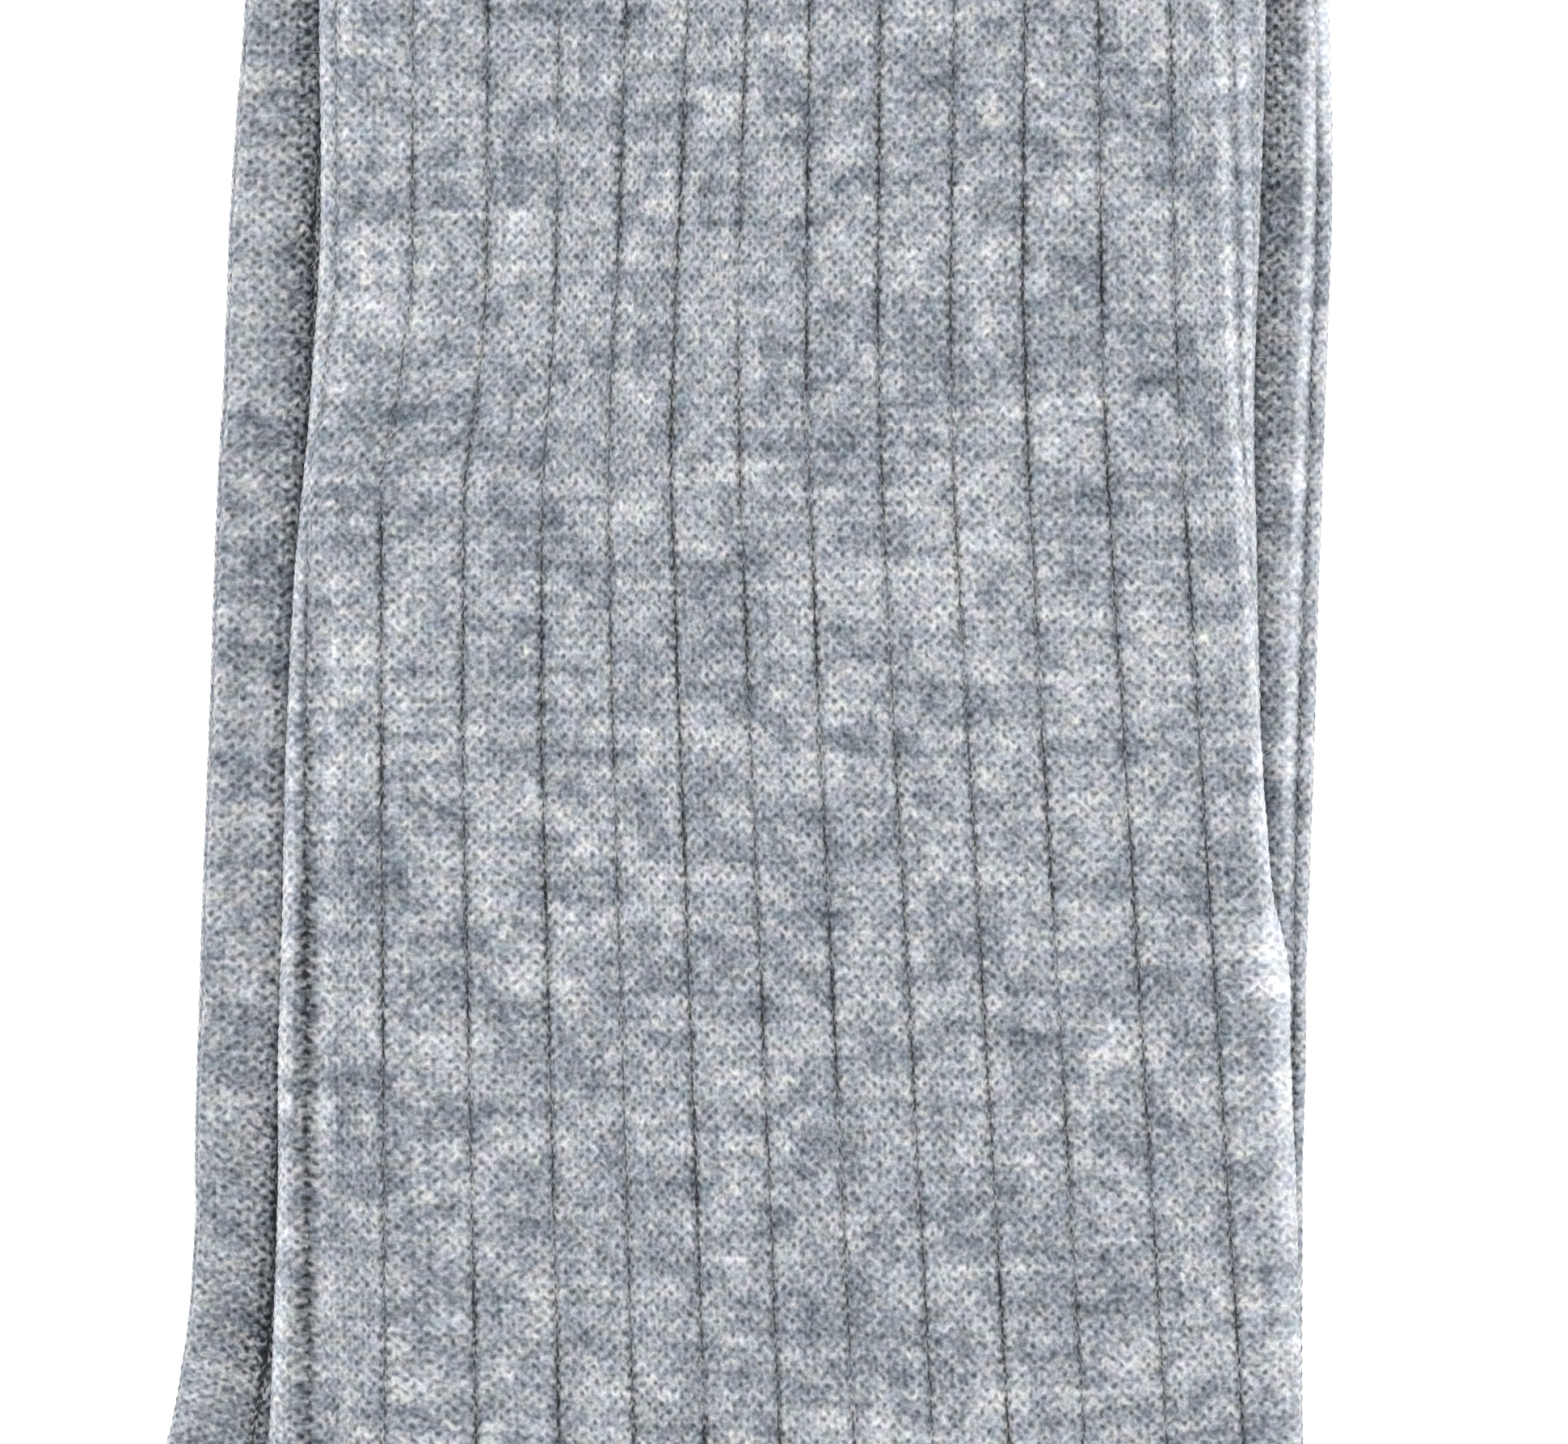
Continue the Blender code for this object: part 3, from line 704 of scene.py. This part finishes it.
def knit_mesh(name, rows, held, closed_end=False):
    """A closed shell of cloth: fine outside, coarse inside, walled where it ends.

    held tells for each block of rows, and each half rib, whether there is cloth.
    """
    around = WALES.around
    faces, corners_knit = [], []

    def vertex(row, column, inside):
        return (len(rows) + row // BLOCK if inside else row) * around + column % around

    def knit_at(row, column, after):
        return (row * 2 + after) * (around + 1) + column

    def add(corners, last_row):
        faces.append([vertex(*corner) for corner in corners])
        corners_knit.extend(knit_at(row, column, row < last_row) for row, column, _ in corners)

    def wall(line, last_row):
        (first_row, first_column), (end_row, end_column) = line[0], line[-1]
        inside = [(end_row, end_column, 1), (first_row, first_column, 1)]
        add([(row, column, 0) for row, column in line] + inside, last_row)

    blocks, halves = held.shape
    for b in range(blocks):
        top, bottom = b * BLOCK, (b + 1) * BLOCK
        for h in range(halves):
            if not held[b, h]:
                continue
            left, right = WALES.starts[h], WALES.starts[h + 1]
            add([(top, left, 1), (top, right, 1), (bottom, right, 1), (bottom, left, 1)], bottom)
            if b == 0 or not held[b - 1, h]:
                wall([(top, c) for c in range(left, right + 1)], bottom)
            if b + 1 < blocks and not held[b + 1, h] or b + 1 == blocks and not closed_end:
                wall([(bottom, c) for c in range(right, left - 1, -1)], bottom)
            if not held[b, (h - 1) % halves]:
                wall([(r, left) for r in range(bottom, top - 1, -1)], bottom)
            if not held[b, (h + 1) % halves]:
                wall([(r, right) for r in range(top, bottom + 1)], bottom)
    if closed_end:
        end = len(rows) - 1
        add([(end, c, 0) for c in range(around - 1, -1, -1)], end)
        add([(end, c, 1) for c in WALES.starts[:-1]], end)

    r, c = np.nonzero(np.repeat(np.repeat(held, BLOCK, axis=0), np.diff(WALES.starts), axis=1))
    square = (0, 0), (1, 0), (1, 1), (0, 1)
    stitches = np.stack([vertex(r + down, c + across, 0) for down, across in square], 1)
    knits = np.stack([knit_at(r + down, c + across, 1 - down) for down, across in square], 1)
    corners_knit = np.concatenate([knits.ravel(), corners_knit])
    points = np.vstack([row.outer[:-1] for row in rows] + [row.inner[:-1] for row in rows[::BLOCK]])
    light = np.concatenate([row.light[:-1] for row in rows + rows[::BLOCK]])
    knit = np.concatenate([part for row in rows for part in (row.before, row.after)])
    mesh = bpy.data.meshes.new(name)
    mesh.from_pydata(points, [], stitches.tolist() + faces)
    mesh.polygons.foreach_set("use_smooth", np.arange(len(stitches) + len(faces)) < len(stitches))
    mesh.uv_layers.new(name="Knit").data.foreach_set("uv", knit[corners_knit].ravel())
    # Each point's painted highlight, above 0, and painted shade, below 0.
    mesh.attributes.new("light", "FLOAT", "POINT").data.foreach_set("value", light)
    drop_loose_points(mesh)
    return add_object(name, mesh)


# ---- the socks


def ribbed_row(sock, below, number, ring, line_places, ribbed, course, rim=0.0):
    sizes = line_sizes(sock, ring)
    around = wale_places(line_places, sizes[0], ribbed)
    sunk, light = knit_relief(sock, course, ribbed, sizes, ring, around)
    return cloth_row(sock, below, number, ring, around, sunk + rim, light, counts(course))


def whole_blocks(length):
    """How many rows of half a course, in whole blocks, fit in this length."""
    return max(1, int(length / (COURSE / 2) / BLOCK)) * BLOCK


def make_leg(sock, plan, below):
    steps = 2 * LEG_COURSES
    rows = []
    for k in range(steps + 1):
        ring = Ring(plan.course("leg", k / steps))
        rim = CUFF_DROP * (1 - min(k / 2 / CUFF_RIM, 1)) ** 2
        rows.append(ribbed_row(sock, below, k, ring, leg_lines(sock, ring), 1.0, k / 2, rim))
    held = np.ones((steps // BLOCK, 2 * RIBS), bool)
    return knit_mesh(sock.name + "_leg_knit", rows, held), steps / 2


def plain_row(sock, ring):
    """The mesh lines' places round a ring of plain knit and in plan, and its broad relief."""
    around = wale_places(even_lines(ring), np.full(RIBS, GROOVE_HALF_WIDTH), 0.0)
    return around, ring.surface(around, 0.0)[2], *broad_relief(sock, ring, around)


def planar(flat, start, across, down, course):
    """Stitch counts from plan places. Courses run in the direction across, and wales in the one down."""
    return np.column_stack([(flat - start) @ across / WALE, (flat - start) @ down / COURSE + course])


def make_heel(sock, plan, below, course):
    steps = whole_blocks((HEEL_POCKET_BACK + HEEL_POCKET_MIDDLE) / 2)
    gore = steps // 2
    heel_start = plan.course("heel", 0.0)[1]
    gore_start = plan.course("heel", 0.5)[1]
    rows = []
    for k in range(steps + 1):
        ring = Ring(plan.course("heel", k / steps))
        around, flat, sunk, light = plain_row(sock, ring)
        from_leg = planar(flat, heel_start, np.array([1.0, 0.0]), np.array([0.0, -1.0]), course)
        from_foot = planar(flat, gore_start, -plan.top, plan.foot, course)
        knit = (from_leg if k <= gore else from_foot, from_leg if k < gore else from_foot)
        seam = GORE_DEPTH * math.exp(-(((k - gore) / GORE_ROWS) ** 2))
        sunk += seam
        light -= seam
        rows.append(cloth_row(sock, below, k, ring, around, sunk, light, knit))
    held = np.tile(~INSTEP_HALVES, (steps // BLOCK, 1))
    return knit_mesh(sock.name + "_heel_knit", rows, held)


def make_foot(sock, plan, below, course):
    """The foot, whose instep also runs past the heel pocket, the course where it ends, and how many of its
    courses are past the heel."""
    past_heel = whole_blocks((HEEL_POCKET_FRONT + HEEL_POCKET_MIDDLE) / 2)
    steps = whole_blocks(plan.usual("foot"))
    stretches = [("heel", k / past_heel) for k in range(past_heel)]
    stretches += [("foot", k / steps) for k in range(steps + 1)]
    ribbed = WALES.instep.astype(float)
    rows = []
    for k, (zone, t) in enumerate(stretches):
        ring = Ring(plan.course(zone, t))
        rows.append(ribbed_row(sock, below, k, ring, even_lines(ring), ribbed, course + k / 2))
    held = np.ones(((past_heel + steps) // BLOCK, 2 * RIBS), bool)
    held[: past_heel // BLOCK] = INSTEP_HALVES
    foot = knit_mesh(sock.name + "_foot_knit", rows, held)
    return foot, course + (past_heel + steps) / 2, past_heel / 2


def toe_share(left):
    """How far through the toe's courses the middle wale has this length left."""
    return math.asin(math.sin(TOE_END_ANGLE) * (1 - left / TOE_LENGTH)) / TOE_END_ANGLE


def make_toe(sock, plan, below, course):
    start = plan.course("toe", 0.0)[1]
    steps = whole_blocks(TOE_LENGTH - RADIUS)
    tip = BLOCK  # rows round the tip
    left = [RADIUS + (TOE_LENGTH - RADIUS) * (1 - k / steps) for k in range(steps)]
    left += [RADIUS * (1 - math.cos(angle)) for angle in np.linspace(math.pi / 2, TIP_ANGLE, tip + 1)]
    rows = []
    for k, length in enumerate(left):
        rise = math.sin(math.acos(max(1 - length / RADIUS, 0)))
        ring = Ring(plan.course("toe", toe_share(length)), rise)
        inner_left = CLOTH + (TOE_LENGTH - CLOTH) * (length - left[-1]) / (TOE_LENGTH - left[-1])
        inner_ring = Ring(plan.course("toe", toe_share(inner_left)), rise)
        around, flat, sunk, light = plain_row(sock, ring)
        knit = planar(flat, start, -plan.top, plan.foot, course)
        rows.append(cloth_row(sock, below, k, ring, around, sunk, light, knit, inner_ring))
    held = np.ones(((steps + tip) // BLOCK, 2 * RIBS), bool)
    return knit_mesh(sock.name + "_toe_knit", rows, held, closed_end=True)


# ---- loose fibres


def outer_surface(piece):
    """The places and normals of the points that the stitches use."""

    def values(items, name, width=1):
        found = np.empty(len(items) * width)
        items.foreach_get(name, found)
        return found.reshape(-1, width)

    mesh = piece.data
    stitches = int(values(mesh.polygons, "use_smooth").sum())  # four corners each, before the other faces
    used = np.unique(values(mesh.loops, "vertex_index")[: 4 * stitches].astype(int))
    return values(mesh.vertices, "co", 3)[used], values(mesh.vertex_normals, "vector", 3)[used]


def unit(vectors):
    return vectors / np.linalg.norm(vectors, axis=-1, keepdims=True)


def make_fuzz(sock, pieces):
    """Short bent hairs rooted in the cloth, most of them along its folds, as closed tubes."""
    rng = np.random.default_rng(sock.seed + FIBRE_SEED)
    places, normals = (np.vstack(part) for part in zip(*(outer_surface(piece) for piece in pieces)))
    slope = normals[:, 2]
    weight = (slope > UNDER_SLOPE) * (FACE_FIBRES + (np.abs(slope) < FOLD_SLOPE))
    chosen = rng.choice(len(places), FIBRES, p=weight / weight.sum())
    root, normal = places[chosen], normals[chosen]
    way = unit(FIBRE_LEAN * normal + unit(rng.normal(size=(FIBRES, 3)) * FIBRE_WAYS))
    bend = unit(rng.normal(size=(FIBRES, 3)) * FIBRE_WAYS)
    length = rng.uniform(*FIBRE_LENGTHS, (FIBRES, 1)) * MM
    side = unit(np.cross(way, bend))
    other = np.cross(way, side)
    angles = np.arange(FIBRE_SIDES) * 2 * math.pi / FIBRE_SIDES
    rings = []
    for t in np.linspace(0, 1, FIBRE_STEPS + 1):
        middle = root - normal * FIBRE_ROOT * MM + length * (way * t + FIBRE_BEND * bend * t**2)
        middle[:, 2] = np.maximum(middle[:, 2], (LOWEST + 2 * FIBRE_RADIUS) * MM)
        radius = FIBRE_RADIUS * (1 - FIBRE_TAPER * t) * MM
        corners = [middle + radius * (math.cos(a) * side + math.sin(a) * other) for a in angles]
        rings.append(np.stack(corners, 1))
    points = np.stack(rings, 1)  # fibre, ring, corner
    first = np.arange(FIBRES)[:, None, None] * (FIBRE_STEPS + 1) * FIBRE_SIDES
    one = []
    for k in range(FIBRE_STEPS):
        for j in range(FIBRE_SIDES):
            here, beside = FIBRE_SIDES * k + j, FIBRE_SIDES * k + (j + 1) % FIBRE_SIDES
            one.append((here, beside, beside + FIBRE_SIDES, here + FIBRE_SIDES))
    sides = (first + np.array(one)).reshape(-1, 4)
    end = FIBRE_SIDES * FIBRE_STEPS
    ends = [range(FIBRE_SIDES)[::-1], range(end, end + FIBRE_SIDES)]
    caps = (first + np.array(ends)).reshape(-1, FIBRE_SIDES)
    mesh = bpy.data.meshes.new(sock.name + "_fuzz")
    mesh.from_pydata(points.reshape(-1, 3), [], sides.tolist() + caps.tolist())
    return add_object(mesh.name, mesh)


# ---- wool

# Each kind of noise in the wool: its bumps to a stitch, across and along, and its share of the tone.
Noise = namedtuple("Noise", "rates share")
FUZZ = Noise((2.9, 2.7), 0.8)  # within the yarn
LUMPS = Noise((1.7, 1.6), 0.35)
STREAKS = Noise((0.8, 7.13), 0.5)  # along each strand, where the second rate tells strands apart
PATCHES = Noise((0.33, 0.4), 0.55)  # over a few stitches
IN_RIBS = Noise((7.37, 0.17), 0.46)  # along each rib, where the first rate tells ribs apart
IN_COURSES = Noise((0.1, 0.65), 0.44)
WANDER_RATES = (1.1, 1.1)
HUE_RATES = (0.6, 0.75)
OTHER_WANDER, OTHER_LUMPS = (31.7, 0.0), (0.0, 55.5)  # where in the noise these start

YARN_COLOURS = (
    (0.0, (0.098, 0.118, 0.144)),
    (0.3, (0.226, 0.254, 0.291)),
    (0.5, (0.356, 0.382, 0.422)),
    (0.7, (0.513, 0.531, 0.561)),
    (1.0, (0.747, 0.754, 0.762)),
)
HUE_SPREAD, HUE_LEAST = (0.16, 0.05, 0.16), (0.92, 0.975, 0.92)
WANDER_ACROSS, WANDER_ALONG = 0.4, 0.45  # stitches
STRAND_RISE = 0.5  # courses, from a wale's middle to its side
OPENING_ALONG, OPENING_ACROSS = 2.5, 0.6  # how sharp the openings between strands are
LUCK_SPREAD, OPENING_LUCK, SIDE_LUCK = 2.0, 0.75, 0.6  # how much of each opening and side happens
# Painted shade in the openings, in the gaps between strands and on the wales' sides.
OPENING_PAINTED_SHADE, GAP_PAINTED_SHADE, SIDE_PAINTED_SHADE = 0.62, 0.07, 0.05
MOTTLE = 0.78  # of the painted shade, with more of it in openings and less on fuzz and lumps
OPENING_MOTTLE, FUZZ_MOTTLE, LUMP_MOTTLE = 1.2, -1.3, -1.0
LEAST_LIGHT = 0.15
HIGHLIGHT_EVENS, HIGHLIGHT_CLOSES, HIGHLIGHT_FUZZ = 0.55, 0.8, 0.3  # what the painted highlight on ridges and edges does to tone, openings and light
# How much whiter the painted highlight makes the wool.
HIGHLIGHT_WHITENS = (0.06, 0.03, 0.0)
STRAND_HEIGHT, OPENING_HEIGHT, FUZZ_HEIGHT = 0.25, -0.4, 0.8  # of the bumps
BUMPS = 0.2
HAIR_SPREAD, HAIR_DARKEST = (0.5, 0.5, 0.5), (0.3, 0.31, 0.33)
HAIR_RATE = 900.0  # colours to a metre
OFFSET = 20.0  # stitches in the noise from one sock to another, for each step of their seeds
FIBRE_SEED = 50


class Graph:
    """A material's nodes, added by short calls. Values are sockets or numbers."""

    def __init__(self, name):
        self.material = bpy.data.materials.new(name)
        self.material.use_nodes = True
        self.nodes = self.material.node_tree.nodes
        self.links = self.material.node_tree.links
        self.shader = self.nodes["Principled BSDF"]

    def add(self, kind, *values, **settings):
        node = self.nodes.new("ShaderNode" + kind)
        for name, value in settings.items():
            setattr(node, name, value)
        for socket, value in zip(node.inputs, values):
            self.put(socket, value)
        return node

    def put(self, socket, value):
        if isinstance(value, bpy.types.NodeSocket):
            self.links.new(value, socket)
        else:
            socket.default_value = value

    def shade(self, **values):
        """Sets the shader's inputs, whose names are written with _ for each space."""
        for name, value in values.items():
            self.put(self.shader.inputs[name.replace("_", " ")], value)

    def math(self, operation, *values, clamp=False):
        return self.add("Math", *values, operation=operation, use_clamp=clamp).outputs[0]

    def times(self, value, factor, plus=0.0, clamp=False):
        return self.math("MULTIPLY_ADD", value, factor, plus, clamp=clamp)

    def colour(self, operation, *values):
        return self.add("VectorMath", *values, operation=operation).outputs[0]

    def total(self, *terms):
        """The sum of (value, weight) terms."""
        result = 0.0
        for value, weight in terms:
            result = self.times(value, weight, result)
        return result

    def wave(self, value, rate, swing):
        """A cosine wave between 0 and 1, that starts at 1 where swing is 0.5 and at 0 where it is -0.5."""
        return self.times(self.math("COSINE", self.times(value, 2 * math.pi * rate)), swing, 0.5)

    def noise_node(self, x, y, rates, detail=0.0, start=(0.0, 0.0)):
        places = (self.times(place, *scaled) for place, *scaled in zip((x, y), rates, start))
        node = self.add("TexNoise", self.add("CombineXYZ", *places).outputs[0], noise_dimensions="2D")
        node.inputs["Scale"].default_value = 1.0
        node.inputs["Detail"].default_value = detail
        return node

    def noise(self, *values, **settings):
        """Noise in two dimensions, round 0."""
        return self.math("SUBTRACT", self.noise_node(*values, **settings).outputs["Fac"], 0.5)


def wool(name, offset):
    """Heather wool in stockinette: slanting strands of uneven yarn, with painted shade in the openings
    between them.
    """
    g = Graph(name)
    knit = g.add("SeparateXYZ", g.add("UVMap", uv_map="Knit").outputs[0])
    u = g.math("ADD", knit.outputs[0], offset)
    v = g.math("ADD", knit.outputs[1], offset)

    # The stitches wander. A strand rises from a wale's middle to its side.
    wander_u = g.noise(u, v, WANDER_RATES)
    wander_v = g.noise(u, v, WANDER_RATES, start=OTHER_WANDER)
    bent_u = g.times(wander_u, WANDER_ACROSS, u)
    bent_v = g.times(wander_v, WANDER_ALONG, v)
    side = g.wave(bent_u, 1.0, -0.5)  # 0 at a wale's middle and 1 at its side
    strand = g.times(side, -STRAND_RISE, bent_v)
    gap = g.wave(strand, 1.0, 0.5)  # 1 between two strands
    between = g.wave(bent_u, 2.0, 0.5)  # 1 at a wale's middle and at its side
    opening = g.times(g.math("POWER", gap, OPENING_ALONG), g.math("POWER", between, OPENING_ACROSS))

    # Mixed colours: within the yarn, along each strand, in patches over a few stitches, and broadly.
    fuzz = g.noise(u, v, FUZZ.rates, 1.0)
    streak = g.noise(bent_u, g.math("FLOOR", strand), STREAKS.rates, 1.0)
    patch = g.noise(u, v, PATCHES.rates, 1.0)
    in_rib = g.noise(g.math("FLOOR", g.math("DIVIDE", u, RIB_WALES)), v, IN_RIBS.rates, 1.0)
    in_course = g.noise(u, v, IN_COURSES.rates, 1.0)
    lump = g.noise(u, v, LUMPS.rates, start=OTHER_LUMPS)
    kinds = FUZZ, LUMPS, STREAKS, PATCHES, IN_RIBS, IN_COURSES
    noises = fuzz, lump, streak, patch, in_rib, in_course
    tone = g.total(*((noise, kind.share) for noise, kind in zip(noises, kinds)))
    # The mesh's light: painted highlight above 0 and painted shade below 0. raised is its painted
    # highlight.
    mesh_light = g.add("Attribute", attribute_name="light").outputs["Fac"]
    raised = g.math("MAXIMUM", mesh_light, 0.0)
    tone = g.times(tone, g.times(raised, -HIGHLIGHT_EVENS, 1.0, clamp=True), 0.5)
    ramp = g.add("ValToRGB", tone)
    while len(ramp.color_ramp.elements) < len(YARN_COLOURS):
        ramp.color_ramp.elements.new(0.5)
    for element, (position, colour) in zip(ramp.color_ramp.elements, YARN_COLOURS):
        element.position = position
        element.color = (*colour, 1.0)
    hue = g.noise_node(u, v, HUE_RATES).outputs["Color"]

    # Openings get painted shade, each as much as it happens, and so do the wales' sides. The mesh's light
    # says where the cloth gets a painted highlight, as on ridges, or painted shade, as in the lines between
    # ribs.
    luck = g.times(wander_v, LUCK_SPREAD, OPENING_LUCK, clamp=True)
    luck = g.times(luck, g.times(raised, -HIGHLIGHT_CLOSES, 1.0, clamp=True))
    sides = g.times(between, g.times(wander_u, LUCK_SPREAD, SIDE_LUCK, clamp=True))
    painted_stitch_shade = g.total((g.times(opening, luck), OPENING_PAINTED_SHADE), (gap, GAP_PAINTED_SHADE), (sides, SIDE_PAINTED_SHADE))
    painted_highlight = g.times(raised, g.times(fuzz, HIGHLIGHT_FUZZ, 1.0))
    mottle = g.total((opening, OPENING_MOTTLE), (fuzz, FUZZ_MOTTLE), (lump, LUMP_MOTTLE))
    # Painted shade from the mesh, mottled.
    painted_mottled_shade = g.times(g.math("MINIMUM", mesh_light, 0.0), g.math("ADD", mottle, MOTTLE))
    light = g.math("MAXIMUM", g.math("ADD", g.math("ADD", painted_highlight, painted_mottled_shade), 1.0), LEAST_LIGHT)
    light = g.times(light, g.math("SUBTRACT", 1.0, painted_stitch_shade, clamp=True))
    shaded = g.colour("MULTIPLY", ramp.outputs["Color"], light)
    tinted = g.colour("MULTIPLY", shaded, g.colour("MULTIPLY_ADD", hue, HUE_SPREAD, HUE_LEAST))
    # The painted highlight is whiter too.
    highlight_whiter = g.colour("MULTIPLY_ADD", raised, HIGHLIGHT_WHITENS, (1.0, 1.0, 1.0))

    strands = g.math("SUBTRACT", 1.0, gap)
    bump = g.add("Bump")
    bump.inputs["Distance"].default_value = BUMPS * MM
    bump.inputs["Strength"].default_value = 1.0
    height = g.total((strands, STRAND_HEIGHT), (opening, OPENING_HEIGHT), (fuzz, FUZZ_HEIGHT))
    g.put(bump.inputs["Height"], height)
    g.shade(
        Base_Color=g.colour("MULTIPLY", tinted, highlight_whiter),
        Normal=bump.outputs[0],
        Roughness=g.times(fuzz, 0.2, 0.88),
        Specular_IOR_Level=0.25,
        Sheen_Weight=0.3,
        Sheen_Roughness=0.5,
    )
    return g.material


def hair():
    """Pale single fibres, some darker than others."""
    g = Graph("hair")
    mixed = g.add("TexNoise", g.add("TexCoord").outputs["Object"])
    mixed.inputs["Scale"].default_value = HAIR_RATE
    tint = g.colour("MULTIPLY_ADD", mixed.outputs["Color"], HAIR_SPREAD, HAIR_DARKEST)
    g.shade(Base_Color=tint, Roughness=0.7, Sheen_Weight=0.3)
    return g.material


# ---- making it all

GIRTH = RIBS * RIB_WALES * WALE  # of a tube of knit, before it is pressed flat
TOE_SHARE = 0.81  # of a tube as long as the toe


def make_sock(sock, below):
    """The four pieces of a sock and its fuzz. below is the outline of the sock under it, if any."""
    plan = PLANS[sock.name]
    leg, leg_end = make_leg(sock, plan, below)
    heel = make_heel(sock, plan, below, leg_end)
    foot, foot_end, past_heel = make_foot(sock, plan, below, leg_end)
    toe = make_toe(sock, plan, below, foot_end)
    fuzz = make_fuzz(sock, (leg, heel, foot, toe))
    fuzz.data.materials.append(hair())
    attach(fuzz, "root")
    knit = wool(sock.name + "_wool", sock.seed * OFFSET)
    foot_length = (foot_end - leg_end) * COURSE
    for piece, zone, slot, flat, area in (
        (leg, "leg", "rib_knit", (GIRTH, leg_end * COURSE), None),
        (heel, "heel", "plain_knit", (GIRTH / 2, HEEL_POCKET_BACK),
         GIRTH / 2 * (HEEL_POCKET_BACK + HEEL_POCKET_MIDDLE) / 2),
        (foot, "foot", "rib_knit", (GIRTH, foot_length), GIRTH * (foot_length - past_heel * COURSE / 2)),
        (toe, "toe", "plain_knit", (GIRTH, TOE_LENGTH), TOE_SHARE * GIRTH * TOE_LENGTH),
    ):
        piece.data.materials.append(knit)
        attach(piece, "root")
        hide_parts(sock.name + "_" + zone)
        under = ["floor"] if below is None or zone != "leg" else []
        if below is not None:
            under.append(f"{LOWER.name}_{zone}_knit")


def area_light(name, place, target, size, power):
    light = bpy.data.lights.new(name, "AREA")
    light.shape = "DISK"
    light.size = size
    light.energy = power
    holder = add_object(name, light)
    holder.location = place
    direction = np.array(target) - np.array(place)
    holder.rotation_euler = (math.atan2(math.hypot(*direction[:2]), -direction[2]), 0,
                             math.atan2(direction[0], -direction[1]) + math.pi)


FRAME_CENTRE = [-place * MM for place in PLAN_CENTRE]  # the photo's middle
FRAME_WIDTH = 147.53 * MM
SEEN_HEIGHT = 5 * MM  # where the frame is that wide
LENS = 250.0
SENSOR = 36.0
FLOOR = 6.0  # metres from its middle to its sides
WHITE, PAPER = (1, 1, 1, 1), (0.92, 0.92, 0.92, 1)
PAPER_GLOW, SKY = 0.25, 0.55  # how bright they are

# Each light's place from the photo's middle, its size and its power, in metres and watts.
LIGHTS = {
    "left_light": ((-1.4, 0.3, 0.9), 0.9, 16),
    "right_light": ((1.4, 0.5, 0.9), 0.9, 16),
    "top_light": ((0.0, 0.4, 1.8), 1.0, 8),
}


def make_studio():
    scene = bpy.context.scene
    camera_data = bpy.data.cameras.new("camera")
    camera_data.lens = LENS
    camera_data.sensor_width = SENSOR
    camera = add_object("camera", camera_data)
    camera.location = (*FRAME_CENTRE, SEEN_HEIGHT + FRAME_WIDTH * LENS / SENSOR)
    scene.camera = camera

    floor_mesh = bpy.data.meshes.new("floor")
    corners = [(-FLOOR, -FLOOR, 0), (FLOOR, -FLOOR, 0), (FLOOR, FLOOR, 0), (-FLOOR, FLOOR, 0)]
    floor_mesh.from_pydata(corners, [], [(0, 1, 2, 3)])
    floor = add_object("floor", floor_mesh)
    paper = Graph("paper")
    paper.shade(Base_Color=PAPER, Roughness=0.9, Emission_Color=WHITE, Emission_Strength=PAPER_GLOW)
    floor_mesh.materials.append(paper.material)

    world = bpy.data.worlds.new("world")
    world.use_nodes = True
    sky = world.node_tree.nodes["Background"].inputs
    sky["Color"].default_value = WHITE
    sky["Strength"].default_value = SKY
    scene.world = world
    scene.view_settings.view_transform = "Standard"
    x, y = FRAME_CENTRE
    for name, ((across, along_y, up), size, power) in LIGHTS.items():
        area_light(name, (x + across, y + along_y, up), (x, y, 0), size, power)


make_studio()
PLANS = {sock.name: Plan(sock) for sock in (LOWER, UPPER)}
UPPER_OUTLINE = PLANS["upper_sock"].outline()
make_sock(LOWER, None)
make_sock(UPPER, PLANS["lower_sock"].outline())
